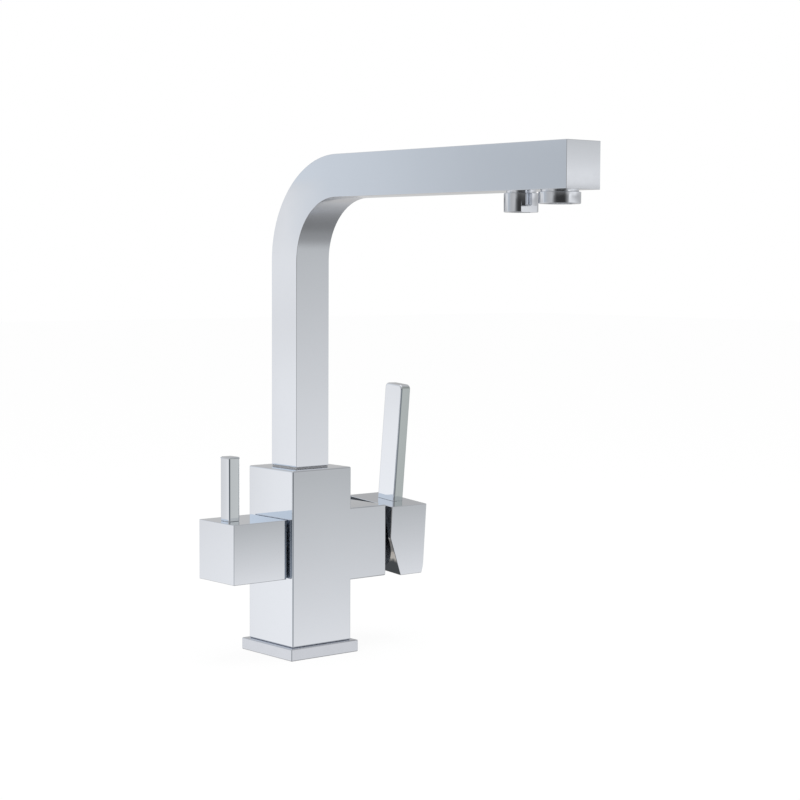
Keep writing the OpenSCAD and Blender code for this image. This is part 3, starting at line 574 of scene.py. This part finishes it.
class TAP_OT_body(TapOperator, bpy.types.Operator):
    """Body casting with its boss, and the bores for hoses, cartridge, valve and spout"""
    bl_idname = "tap.body"
    bl_label = "Body"

    def build(self, sizes):
        low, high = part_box("body")
        side, axis, boss = high.y, axis_height(), sizes.boss_height / 2
        plate_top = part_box("base_plate")[1].z
        outline = [(-side, plate_top), (side, plate_top), (side, axis - boss), (high.x, axis - boss),
                   (high.x, axis + boss), (side, axis + boss), (side, high.z), (-side, high.z)]
        casting = soften(prism([(x, -side, z) for x, z in outline], 2 * side * Y), sizes.body_edge)
        piece = mesh_object(casting, "body_polished", "polished_chrome")
        foot = rod((0, 0, plate_top - sizes.foot_length), (0, 0, plate_top + OVERRUN), sizes.foot_radius)
        combine(piece, foot, "UNION", "turned_brass")
        # bores that don't meet each other
        bonnet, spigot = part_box("valve_bonnet"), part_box("spout_spigot")
        combine(piece, joined(
            rod((0, 0, low.z - OVERRUN), (0, 0, MOUNTS["hot_inlet"]["pos_m"][2]), sizes.cavity_radius),
            rod(on_axis(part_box("cartridge_housing")[0].x), on_axis(high.x + OVERRUN),
                round_reach("cartridge_housing")),
            rod(on_axis(-side - OVERRUN), on_axis(bonnet[1].x), round_reach("valve_bonnet")),
            rod((0, 0, spigot[0].z - sizes.chamber), (0, 0, high.z + OVERRUN),
                spigot[1].x + sizes.running_fit),
        ), "DIFFERENCE", "turned_brass")
        # holes that open into those bores
        studs = MOUNTS["fixing_studs"]
        place, spread = Vector(studs["pos_m"]), studs["dims"]["spacing_y_mm"] * MM / 2
        stud_radius = studs["dims"]["hole_r_mm"] * MM
        holes = [rod(place - Z * OVERRUN + Y * y, place + Z * sizes.stud_depth + Y * y, stud_radius)
                 for y in (-spread, spread)]
        holes.append(rod(on_axis(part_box("cartridge_nut")[0].x), on_axis(high.x + OVERRUN),
                         round_reach("cartridge_nut")))
        screw_z = middle("spout_retaining_screw").z
        hole, rim = screw_hole(
            (0, side, screw_z), -Y, side, round_reach("spout_retaining_screw"), sizes.rim)
        combine(piece, joined(*holes, hole), "DIFFERENCE", "turned_brass")
        combine(piece, rim, "DIFFERENCE")
        for name in ("hot_inlet", "cold_inlet", "filtered_inlet"):
            mouth, port = Vector(MOUNTS[name]["pos_m"]), MOUNTS[name]["dims"]
            combine(piece, rod(mouth - Z * OVERRUN, mouth + Z * port["length_mm"] * MM, port["r_mm"] * MM),
                    "DIFFERENCE", "turned_brass")
        complete(piece, "root", "body", painted_shade_rising(plate_top, high.z))


class TAP_OT_spout(TapOperator, bpy.types.Operator):
    """Square tube, drawn as one section along its column, bend and arm"""
    bl_idname = "tap.spout"
    bl_label = "Spout"

    def tube(self, sizes, inset, start_z):
        """The section, inset from its outside, run from start_z round the bend to the end of the arm."""
        low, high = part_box("spout_tube")
        half_w, half_d = high.x - inset, high.y - inset
        bend_y, bend_z = -(high.y + sizes.bend_radius), high.z - 2 * high.y - sizes.bend_radius
        shape = bmesh.new()
        corners = [(-half_w, -half_d), (half_w, -half_d), (half_w, half_d), (-half_w, half_d)]
        foot = shape.faces.new([shape.verts.new((x, y, start_z)) for x, y in corners])

        def push(faces, way):
            made = bmesh.ops.extrude_face_region(shape, geom=faces)["geom"]
            moved = [g for g in made if isinstance(g, bmesh.types.BMVert)]
            bmesh.ops.translate(shape, vec=way, verts=moved)
            return [g for g in made if isinstance(g, bmesh.types.BMFace)]

        column_top = push([foot], Z * (bend_z - start_z))
        turned = bmesh.ops.spin(
            shape, geom=column_top, cent=(0, bend_y, bend_z), axis=X, dvec=(0, 0, 0), angle=math.pi / 2,
            steps=BEND_STEPS, use_merge=False, use_duplicate=False)["geom_last"]
        bmesh.ops.delete(shape, geom=column_top, context="FACES_ONLY")
        bend_end = [g for g in turned if isinstance(g, bmesh.types.BMFace)]
        push(bend_end, Y * (low.y + inset - bend_y))
        bmesh.ops.delete(shape, geom=bend_end, context="FACES_ONLY")
        bmesh.ops.recalc_face_normals(shape, faces=shape.faces[:])
        return shape

    def build(self, sizes):
        low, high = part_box("spout_tube")
        tube = soften(self.tube(sizes, 0, low.z), sizes.spout_edge)
        piece = mesh_object(tube, "spout_polished", "polished_chrome")
        combine(piece, self.tube(sizes, sizes.spout_wall, low.z - OVERRUN), "DIFFERENCE", "turned_brass")
        arm_under = high.z - 2 * high.y
        for bush in ("mixed_outlet_bush", "filtered_outlet_bush"):
            y, radius = middle(bush).y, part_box(bush)[1].x + sizes.fit
            hole = rod((0, y, arm_under - OVERRUN), (0, y, arm_under + 2 * sizes.spout_wall), radius)
            combine(piece, hole, "DIFFERENCE")
        bend_z = arm_under - sizes.bend_radius

        # painted shade on the spout's front faces, growing up the column and up the end face
        def shade(point):
            if point.y < low.y / 2:
                return ARM_SHADE * (point.z - arm_under) / (high.z - arm_under)
            return FOOT_SHADE + (BEND_SHADE - FOOT_SHADE) * (point.z - low.z) / (bend_z - low.z)

        complete(piece, "spout", "spout_tube", shade)
        self.glide_ring(sizes)

    def glide_ring(self, sizes):
        """Thin square ring in the foot of the column, round the spigot. The spout turns on it."""
        low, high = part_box("spout_glide_ring")
        piece = mesh_object(box_shape(low, high), "glide_ring", "grey_plastic")
        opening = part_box("spout_spigot")[1].x + sizes.running_fit + sizes.ring_gap
        combine(piece, rod((0, 0, low.z - OVERRUN), (0, 0, high.z + OVERRUN), opening), "DIFFERENCE")
        complete(piece, "spout", "spout_glide_ring")


class TAP_OT_outlets(TapOperator, bpy.types.Operator):
    """Bushes under the arm, the aerator and the filtered water nozzle"""
    bl_idname = "tap.outlets"
    bl_label = "Outlets"

    def bush(self, node, name, sizes):
        """Ring that shows as a narrower neck, with its thread's bore and its throat."""
        low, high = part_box(node)
        bore = high.x - sizes.bush_wall
        throat = bore - sizes.throat_in
        shoulder = low.z + sizes.thread_length + OVERRUN
        profile = [(bore, low.z), (high.x, low.z), (high.x, high.z), (throat, high.z),
                   (throat, shoulder), (bore, shoulder)]
        ring = lathe(profile, (0, middle(node).y, 0), Z)
        complete(mesh_object(ring, name, "polished_chrome"), "spout", node)

    def shell(self, node, name, sizes, insert):
        """Turned shell with rounded rims, a lip for its insert, and its thread."""
        low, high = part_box(node)
        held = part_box(insert)[1]
        seat = held.x + sizes.fit
        mouth = seat - sizes.lip
        screw = high.x - sizes.neck_in - sizes.bush_wall - sizes.fit
        throat = screw - sizes.throat_in
        shoulder = high.z - sizes.thread_length
        r = sizes.outlet_edge
        profile = [(mouth, low.z + r / 2), (mouth + r / 2, low.z)]
        profile += arc((high.x - r, low.z + r), r, -90, 0, steps=4)
        profile += arc((high.x - r / 2, shoulder - r / 2), r / 2, 0, 90, steps=3)
        profile += [(screw, shoulder), (screw, high.z), (throat, high.z), (throat, held.z + sizes.fit),
                    (seat, held.z + sizes.fit), (seat, low.z + sizes.lip), (mouth, low.z + sizes.lip)]
        return mesh_object(lathe(profile, (0, middle(node).y, 0), Z), name, "polished_chrome")

    def build(self, sizes):
        self.bush("mixed_outlet_bush", "mixed_outlet_neck", sizes)
        self.bush("filtered_outlet_bush", "filtered_outlet_neck", sizes)
        aerator = self.shell("aerator_housing", "aerator_shell", sizes, "aerator_insert")
        complete(aerator, "spout", "aerator_housing")
        nozzle = self.shell("filter_nozzle", "filter_nozzle_shell", sizes, "filter_nozzle_insert")
        low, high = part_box("filter_nozzle")
        reach = high.x
        for side in (-1, 1):
            near, far = side * (reach - sizes.flat_depth), side * 2 * reach
            flat = box_shape((-2 * reach, min(near, far), low.z - OVERRUN),
                             (2 * reach, max(near, far), low.z + sizes.flat_height))
            bmesh.ops.rotate(flat, verts=flat.verts[:], cent=(0, 0, 0),
                             matrix=Matrix.Rotation(sizes.nozzle_turn, 3, "Z"))
            bmesh.ops.translate(flat, verts=flat.verts[:], vec=(0, middle("filter_nozzle").y, 0))
            combine(nozzle, flat, "DIFFERENCE")
        complete(nozzle, "spout", "filter_nozzle")


class TAP_OT_mixer_handle(TapOperator, bpy.types.Operator):
    """Mixer block with its sloping inner face and hollow, and its flat lever"""
    bl_idname = "tap.mixer_handle"
    bl_label = "Mixer handle"

    def build(self, sizes):
        low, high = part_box("mixer_handle")
        axis, half, width = axis_height(), sizes.boss_height / 2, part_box("body")[1].y
        # outline of the side, with the outer face drawn in at the bottom
        sweep = (sizes.sweep_height ** 2 + sizes.sweep_in ** 2) / (2 * sizes.sweep_in)
        reach = math.degrees(math.asin(sizes.sweep_height / sweep))
        drawn_in = arc((high.x - sweep, sizes.sweep_height - half), sweep, 0, -reach, steps=6)
        outline = [(low.x, half), (high.x, half), *drawn_in, (low.x + sizes.slope_run, -half),
                   (low.x, sizes.knee)]
        block = prism([(x, -width, axis + z) for x, z in outline], 2 * width * Y)
        soften(block, sizes.block_edge)
        piece = mesh_object(mixer_pose(block, sizes), "mixer_block", "polished_chrome", "raw_casting",
                            "slope_plate", inner=self.finish_of)
        # hollow, socket for the stem, and the screw that grips it
        floor = JOINTS["mixer_flow"]["pos_m"][0] + sizes.pocket_depth
        combine(piece, rod(on_axis(low.x - OVERRUN), on_axis(floor), sizes.pocket_radius),
                "DIFFERENCE", "raw_casting")
        socket_end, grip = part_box("cartridge_stem")[1].x + sizes.fit, sizes.stem_width / 2 + sizes.fit
        socket = box_shape((floor - OVERRUN, -grip, axis - grip), (socket_end, grip, axis + grip))
        combine(piece, mixer_pose(socket, sizes), "DIFFERENCE", "raw_casting")
        hole, rim = screw_hole((middle("mixer_grub_screw").x, 0, axis - half), Z, half,
                               sizes.grub_radius, sizes.rim)
        combine(piece, mixer_pose(hole, sizes), "DIFFERENCE", "raw_casting")
        combine(piece, mixer_pose(rim, sizes), "DIFFERENCE")
        complete(piece, "mixer_lift", "mixer_handle", painted_shade_rising(low.z, high.z))
        self.lever(sizes, high.x - sizes.lever_inset - sizes.lever_thickness / 2, axis + half)

    def finish_of(self, face):
        """The number of a face's finish: casting on the upright inner face, slope with painted shadow and light
        below it.
        """
        if face.normal.x < -FLAT:
            return 1
        return 2 if face.normal.x < -SLOPE and face.normal.z < 0 else 0

    def lever(self, sizes, x, z):
        """Flat bar with two rounded corners, leaning outwards a little."""
        top, reach, r = sizes.lever_rise - sizes.boss_height / 2, sizes.lever_width / 2, sizes.lever_round
        outline = [(-reach, 0.0), (reach, 0.0)]
        outline += arc((reach - r, top - r), r, 0, 90, steps=8)
        outline += arc((r - reach, top - r), r, 90, 180, steps=8)
        bar = prism([(-sizes.lever_thickness / 2, y, z) for y, z in outline], sizes.lever_thickness * X)
        soften(bar, sizes.lever_edge, lambda e: max(v.co.z for v in e.verts) > sizes.lever_foot,
               LEVER_FACETS)
        soften(bar, sizes.lever_foot, lambda e: max(v.co.z for v in e.verts) < sizes.lever_foot / 2,
               FOOT_FACETS, clamp=False)
        # the foot goes down into the block far enough for the lean to leave no gap
        foot = [v for v in bar.verts if v.co.z < 2 * sizes.lever_foot]
        bmesh.ops.translate(
            bar, verts=foot, vec=-Z * sizes.lever_thickness / 2 * math.tan(sizes.lever_lean))
        bmesh.ops.rotate(bar, verts=bar.verts[:], cent=(0, 0, 0),
                         matrix=Matrix.Rotation(sizes.lever_lean, 3, "Y"))
        bmesh.ops.translate(bar, verts=bar.verts[:], vec=(x, 0, z))
        piece = mesh_object(mixer_pose(bar, sizes), "mixer_lever_bar", "lever_chrome")
        complete(piece, "mixer_lift", "mixer_lever", lambda point: MIXER_LEVER_SHADE)


class TAP_OT_filter_handle(TapOperator, bpy.types.Operator):
    """Block and lever of the quarter turn valve"""
    bl_idname = "tap.filter_handle"
    bl_label = "Filter handle"

    def build(self, sizes):
        low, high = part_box("filter_handle")
        block = soften(box_shape(low, high), sizes.block_edge)
        piece = mesh_object(block, "filter_block", "polished_chrome", "satin_plate",
                            inner=lambda face: int(face.normal.x > FLAT))
        # hollow over the bonnet, bore for the spindle, and the screw that grips it
        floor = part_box("valve_bonnet")[0].x - sizes.pocket_gap
        combine(piece, rod(on_axis(high.x + OVERRUN), on_axis(floor), sizes.filter_pocket),
                "DIFFERENCE", "raw_casting")
        combine(piece, rod(on_axis(floor + OVERRUN), on_axis(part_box("valve_spindle")[0].x - sizes.fit),
                           sizes.spindle_radius + sizes.fit), "DIFFERENCE", "raw_casting")
        hole, rim = screw_hole((middle("filter_grub_screw").x, 0, low.z), Z, axis_height() - low.z,
                               sizes.grub_radius, sizes.rim)
        combine(piece, hole, "DIFFERENCE", "raw_casting")
        combine(piece, rim, "DIFFERENCE")
        complete(piece, "filter_turn", "filter_handle", painted_shade_rising(low.z, high.z))
        self.lever(sizes, high.z)

    def lever(self, sizes, foot_z):
        """Short square bar with rounded edges."""
        low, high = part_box("filter_lever")
        bar = box_shape((low.x, low.y, foot_z), high)
        soften(bar, sizes.lever_cap, lambda e: min(v.co.z for v in e.verts) > foot_z + NEAR, LEVER_FACETS)
        soften(bar, sizes.lever_edge, lambda e: abs(e.verts[0].co.z - e.verts[1].co.z) > UPRIGHT,
               LEVER_FACETS)
        soften(bar, sizes.lever_foot, lambda e: max(v.co.z for v in e.verts) < foot_z + NEAR,
               FOOT_FACETS, clamp=False)
        piece = mesh_object(bar, "filter_lever_bar", "short_lever_chrome")
        complete(piece, "filter_turn", "filter_lever", lambda point: FILTER_LEVER_SHADE)


class TAP_OT_dome(TapOperator, bpy.types.Operator):
    """Domed cover over the cartridge, spun from its half section"""
    bl_idname = "tap.dome"
    bl_label = "Cartridge dome"

    def build(self, sizes):
        low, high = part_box("cartridge_dome")
        pivot = Vector(JOINTS["mixer_flow"]["pos_m"])
        wall, radius, skirt = sizes.dome_wall, sizes.dome_radius, sizes.dome_skirt
        foot, top, skirt_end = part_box("body")[1].x - pivot.x, high.x - pivot.x, low.x - pivot.x

        def turn(height, r):
            return math.degrees(math.asin(height / r))

        outer = arc((0, 0), radius, turn(foot, radius), turn(top, radius), steps=16)
        mouth = math.degrees(math.acos(outer[-1][0] / (radius - wall)))
        inner = arc((0, 0), radius - wall, mouth, turn(foot + wall, radius - wall), steps=14)
        profile = outer + inner + [(skirt, foot + wall), (skirt - wall, foot + wall),
                                   (skirt - wall, skirt_end), (skirt, skirt_end), (skirt, foot)]
        piece = mesh_object(lathe(profile, pivot, X), "dome_cover", "polished_chrome")
        complete(piece, "root", "cartridge_dome")


# nodes that keep the shape they have in the frame, by their finish
CARRIED_OVER = {
    "black_rubber": ("base_seal", "cartridge_base_seals", "valve_seat_washer", "bonnet_seal",
                     "spigot_seals", "filtered_tube_seal", "aerator_washer", "filter_nozzle_washer",
                     "spindle_seal"),
    "white_plastic": ("cartridge_housing", "filtered_tube_elbow", "filtered_water_tube"),
    "grey_plastic": ("cartridge_carrier", "disc_driver", "aerator_insert", "filter_nozzle_insert"),
    "turned_brass": ("cartridge_nut", "valve_bonnet", "spout_spigot", "valve_spindle"),
    "stainless_steel": ("spout_retaining_screw", "cartridge_pivot_pin", "cartridge_stem",
                        "mixer_grub_screw", "filter_grub_screw"),
    "ceramic": ("cartridge_fixed_disc", "cartridge_moving_disc", "valve_fixed_disc", "valve_moving_disc"),
}


class TAP_OT_inner_pieces(TapOperator, bpy.types.Operator):
    """Finishes of the small and hidden pieces, whose shapes come from the frame"""
    bl_idname = "tap.inner_pieces"
    bl_label = "Inner pieces"

    def build(self, sizes):
        for finish, names in CARRIED_OVER.items():
            for name in names:
                piece = frame["nodes"][name]
                piece.data.materials.clear()
                piece.data.materials.append(finish_material(finish))


# Stage

# what the left side of the spout's arm mirrors, from its bend to its end
ARM_SIDE = ((127.6, 0.74, 1), (129.2, 0.70, 1), (131, 0.64, 1), (132.5, 0.59, 1), (135, 0.56, 1))
# The studio round the tap. Each row is a height of the view, as the sine of its angle above the
# horizon, with the brightness at some compass angles: 0 is +X and 90 is +Y. A third number makes a
# place cooler, or warmer where it is below zero. Behind the camera there is a dark wall.
STUDIO_ROWS = [
    (-0.95, [(-180, 0.30), (0, 0.25), (180, 0.30)]),
    (-0.76, [(-180, 0.20), (-60, 0.20), (-16, 0.28), (12, 0.35), (60, 0.55), (115, 0.25), (180, 0.20)]),
    (-0.57, [(-180, 0.15), (-127, 0.05), (-60, 0.40), (-37, 0.46), (0, 0.44), (38, 0.54), (66, 0.55, -2),
             (85, 0.52), (105, 0.48), (130, 0.48), (180, 0.15)]),
    (-0.26, [(-180, 0.90), (-165, 0.50), (-150, 0.20), (-100, 0.20), (-85, 0.60), (-52, 0.86), (0, 0.60),
             (48, 0.54), (90, 0.70), (125, 0.95), (180, 0.95)]),
    (-0.17, [(-180, 0.90), (-165, 0.50), (-150, 0.30, 2), (-100, 0.30, 2), (-85, 0.60), (-52, 0.86),
             (0, 0.60), (50, 0.56), (90, 0.70), (124, 0.90), (126, 0.96), (130, 1.00), (180, 0.95)]),
    (-0.115, [(-180, 0.90), (-165, 0.50), (-150, 0.12, 3), (-100, 0.12, 3), (-85, 0.60), (-52, 0.86),
              (0, 0.60), (50, 0.58), (90, 0.70), (124.8, 0.82), (126, 0.93), (129.6, 1.00),
              (180, 0.92)]),
    (-0.07, [(-180, 0.80), (-165, 0.40), (-150, 0.10, 2), (-100, 0.10, 2), (-85, 0.60), (-52, 0.86),
             (0, 0.60), (50, 0.60), (90, 0.70), (124.8, 0.82), (126.6, 0.93), (129.8, 0.94),
             (180, 0.80)]),
    (-0.03, [(-180, 0.60), (-165, 0.25), (-150, 0.10), (-100, 0.10), (-85, 0.60), (-52, 0.86), (0, 0.60),
             (48, 0.56), (50, 0.61), (90, 0.70), (126.7, 0.86), (140, 0.85), (180, 0.60)]),
    (0.00, [(-180, 0.40), (-165, 0.18), (-150, 0.08), (-100, 0.08), (-85, 0.50), (-52, 0.86), (0, 0.60),
            (50, 0.58), (90, 0.70), (126.7, 0.89), (140, 0.75), (180, 0.40)]),
    (0.02, [(-180, 0.55), (-168, 0.25), (-160, 0.10), (-150, 0.04), (-107, 0.04), (-90, 0.30),
            (-80, 0.85), (-52, 0.84), (0, 0.50), (50, 0.60), (114, 0.60), (123, 0.63), (126.9, 0.89),
            *ARM_SIDE, (160, 0.51), (180, 0.55)]),
    (0.036, [(-180, 0.57), (-175, 0.55), (-168, 0.25), (-162, 0.11), (-150, 0.04), (-111, 0.04),
             (-104, 0.08), (-90, 0.31), (-86, 0.46), (-81, 0.96), (-75, 0.88), (-62, 0.68), (-41, 0.54),
             (-22, 0.48), (50, 0.48), (66, 0.35), (92, 0.35), (110, 0.85), (118, 0.72), (126.9, 0.85),
             *ARM_SIDE, (160, 0.51), (180, 0.57)]),
    (0.0395, [(-180, 0.57), (-171, 0.56), (-157, 0.14), (-150, 0.07), (-111, 0.06), (-104, 0.10),
              (-86, 0.46), (-81, 0.96), (-75, 0.95), (-62, 0.80), (-45, 0.87), (-22, 0.55), (50, 0.55),
              (110, 0.75), (126.9, 0.80), *ARM_SIDE, (160, 0.51), (180, 0.57)]),
    (0.045, [(-180, 0.55), (-155, 0.12), (-107, 0.12), (-75, 0.81), (-52, 0.88), (-44.6, 0.93),
             (0, 0.60), (50, 0.60), (120, 0.70, 1), (127, 0.78, 1), *ARM_SIDE, (158, 0.50),
             (180, 0.55)]),
    (0.055, [(-180, 0.50), (-155, 0.20), (-107, 0.20), (-75, 0.81), (-52, 0.84), (-44.6, 0.88),
             (0, 0.60), (50, 0.60), (120, 0.70, 1), (127, 0.76, 1), *ARM_SIDE, (158, 0.50),
             (180, 0.50)]),
    (0.105, [(-180, 0.50), (-150, 0.30), (-100, 0.30), (-60, 0.80), (0, 0.60), (50, 0.545), (54, 0.53),
             (90, 0.60), (125, 0.82, 1.8), (126.3, 0.74, 1.8), (140, 0.70), (180, 0.50)]),
    (0.125, [(-180, 0.50), (-150, 0.30), (-100, 0.30), (-60, 0.80), (0, 0.50), (50, 0.47), (55, 0.56),
             (90, 0.60), (125, 0.82, 1.8), (126.3, 0.74, 1.8), (129, 0.72, 2), (140, 0.70),
             (180, 0.50)]),
    (0.45, [(-180, 0.80), (-127, 0.45), (-60, 0.50), (0, 0.40), (50, 0.45), (90, 0.60), (135, 0.75),
            (180, 0.80)]),
    (0.77, [(-180, 0.80), (-20, 0.55), (110, 0.55), (180, 0.80)]),
    (0.95, [(-180, 1.00), (180, 1.00)]),
]
COOL_SHARE = 0.055        # how far a cool place leans to blue
CAMERA_PLACE = (-0.72118, -0.95341, 0.24006)
CAMERA_YAW, CAMERA_PITCH, CAMERA_ROLL = -0.69909, -0.07023, 0.00464
CAMERA_LENS, SENSOR_WIDTH = 87.43, 36.0  # millimetres
CAMERA_NEAR, CAMERA_FAR = 0.05, 50.0
FLOOR_SIDE = 12.0
FLOOR_GAP = 0.2 * MM      # keeps the floor clear of the base
FLOOR_TONE = (0.9, 0.9, 0.9)
FLOOR_SHADOW = 0.1        # share of the floor's real shade that the camera sees
FLOOR_WHITE = 1.03        # strength that keeps the floor white outside the shadow
# name, place, side of the square, and power in watts
LAMPS = (("overhead", (0.1, -0.2, 1.5), 1.0, 6.0), ("left_front", (-1.3, -0.5, 1.0), 0.7, 3.0))
LAMP_AIM = Vector((0, -0.05, 0.12))


class TAP_OT_stage(TapOperator, bpy.types.Operator):
    """Camera, pale floor, soft lamps and the studio that the chrome reflects"""
    bl_idname = "tap.stage"
    bl_label = "Stage"

    def build(self, sizes):
        self.camera()
        self.floor()
        self.studio()
        self.lamps()
        bpy.context.scene.view_settings.view_transform = "Standard"

    def camera(self):
        data = bpy.data.cameras.new("photo_view")
        data.lens, data.sensor_width = CAMERA_LENS, SENSOR_WIDTH
        data.clip_start, data.clip_end = CAMERA_NEAR, CAMERA_FAR
        camera = bpy.data.objects.new("photo_view", data)
        bpy.context.scene.collection.objects.link(camera)
        level = Euler((math.pi / 2 + CAMERA_PITCH, 0, CAMERA_YAW)).to_matrix()
        camera.rotation_euler = (level @ Matrix.Rotation(CAMERA_ROLL, 3, "Z")).to_euler()
        camera.location = CAMERA_PLACE
        bpy.context.scene.camera = camera

    def floor(self):
        """White floor. The camera sees it almost without shade, the chrome sees through it."""
        shape = bmesh.new()
        bmesh.ops.create_grid(shape, x_segments=1, y_segments=1, size=FLOOR_SIDE / 2)
        mesh = bpy.data.meshes.new("floor")
        shape.to_mesh(mesh)
        shape.free()
        floor = bpy.data.objects.new("floor", mesh)
        bpy.context.scene.collection.objects.link(floor)
        floor.location.z = CAD_BOX[0][2] - FLOOR_GAP
        material = bpy.data.materials.new("white_floor")
        material.use_nodes = True
        tree = material.node_tree
        tree.nodes.clear()
        add = node_adder(tree)
        ray = add("ShaderNodeLightPath")
        matt = add("ShaderNodeBsdfDiffuse", Color=(*FLOOR_TONE, 1))
        white = add("ShaderNodeEmission", Strength=FLOOR_WHITE)
        clear = add("ShaderNodeBsdfTransparent")
        seen = add("ShaderNodeMath", [(0, ray.outputs["Is Camera Ray"])], operation="MULTIPLY")
        seen.inputs[1].default_value = 1 - FLOOR_SHADOW
        solid = add("ShaderNodeMixShader", [
            ("Fac", seen.outputs["Value"]), (1, matt.outputs["BSDF"]), (2, white.outputs["Emission"])])
        surface = add("ShaderNodeMixShader", [
            ("Fac", ray.outputs["Is Glossy Ray"]), (1, solid.outputs["Shader"]),
            (2, clear.outputs["BSDF"])])
        add("ShaderNodeOutputMaterial", [("Surface", surface.outputs["Shader"])])
        mesh.materials.append(material)

    def studio(self):
        """World: white to the camera, and the studio's levels to everything else."""
        world = bpy.data.worlds.new("studio")
        world.use_nodes = True
        bpy.context.scene.world = world
        tree = world.node_tree
        tree.nodes.clear()
        add = node_adder(tree)
        place = add("ShaderNodeTexCoord").outputs["Generated"]
        compass = add("ShaderNodeTexGradient", [("Vector", place)], gradient_type="RADIAL").outputs["Fac"]
        height = add("ShaderNodeSeparateXYZ", [("Vector", place)]).outputs["Z"]
        level, below = None, None
        for sine, stops in STUDIO_ROWS:
            row = self.row_level(add, compass, stops)
            if level is None:
                level = row
            else:
                rise = map_range(add, height, below, sine, kind="SMOOTHSTEP")
                mix = add("ShaderNodeMixRGB", [("Fac", rise), ("Color1", level), ("Color2", row)])
                level = mix.outputs["Color"]
            below = sine
        studio = add("ShaderNodeBackground", [("Color", level)])
        white = add("ShaderNodeBackground", Color=(1, 1, 1, 1))
        ray = add("ShaderNodeLightPath")
        choose = add("ShaderNodeMixShader", [
            ("Fac", ray.outputs["Is Camera Ray"]), (1, studio.outputs["Background"]),
            (2, white.outputs["Background"])])
        add("ShaderNodeOutputWorld", [("Surface", choose.outputs["Shader"])])

    def row_level(self, add, compass, stops):
        """Levels round the compass at the height of one row."""
        ramp = add("ShaderNodeValToRGB", [("Fac", compass)])
        elements = ramp.color_ramp.elements
        while len(elements) < len(stops):
            elements.new(0.5)
        for element, (turn, level, *cool) in zip(elements, stops):
            lean = COOL_SHARE * sum(cool)
            element.position = turn / 360 + 0.5
            element.color = (level * (1 - lean), level, level * (1 + lean), 1)
        return ramp.outputs["Color"]

    def lamps(self):
        for name, place, side, power in LAMPS:
            data = bpy.data.lights.new(name, "AREA")
            data.shape, data.size, data.energy = "SQUARE", side, power
            lamp = bpy.data.objects.new(name, data)
            bpy.context.scene.collection.objects.link(lamp)
            lamp.location = place
            lamp.visible_glossy = False
            lamp.rotation_euler = (LAMP_AIM - Vector(place)).to_track_quat("-Z", "Y").to_euler()


# Panel and start

PIECE_OPERATORS = (TAP_OT_base, TAP_OT_body, TAP_OT_spout, TAP_OT_outlets, TAP_OT_mixer_handle,
                   TAP_OT_filter_handle, TAP_OT_dome, TAP_OT_inner_pieces, TAP_OT_stage)


class TAP_PT_panel(bpy.types.Panel):
    """Lists the tap's pieces and sizes in the sidebar"""
    bl_idname = "TAP_PT_panel"
    bl_label = "Kitchen tap"
    bl_space_type = "VIEW_3D"
    bl_region_type = "UI"
    bl_category = "Tap"

    def draw(self, context):
        for operator in PIECE_OPERATORS:
            self.layout.operator(operator.bl_idname)
        for group in (context.scene.tap_sizes, context.scene.tap_finishes):
            column = self.layout.column()
            for name in group.__annotations__:
                column.prop(group, name)


CLASSES = (TapSizes, TapFinishes, *PIECE_OPERATORS, TAP_PT_panel)


def register():
    for cls in CLASSES:
        bpy.utils.register_class(cls)
    bpy.types.Scene.tap_sizes = bpy.props.PointerProperty(type=TapSizes)
    bpy.types.Scene.tap_finishes = bpy.props.PointerProperty(type=TapFinishes)


def unregister():
    del bpy.types.Scene.tap_finishes
    del bpy.types.Scene.tap_sizes
    for cls in reversed(CLASSES):
        bpy.utils.unregister_class(cls)


def main():
    register()
    for operator in PIECE_OPERATORS:
        group, name = operator.bl_idname.split(".")
        getattr(getattr(bpy.ops, group), name)()


if __name__ == "__main__":
    main()
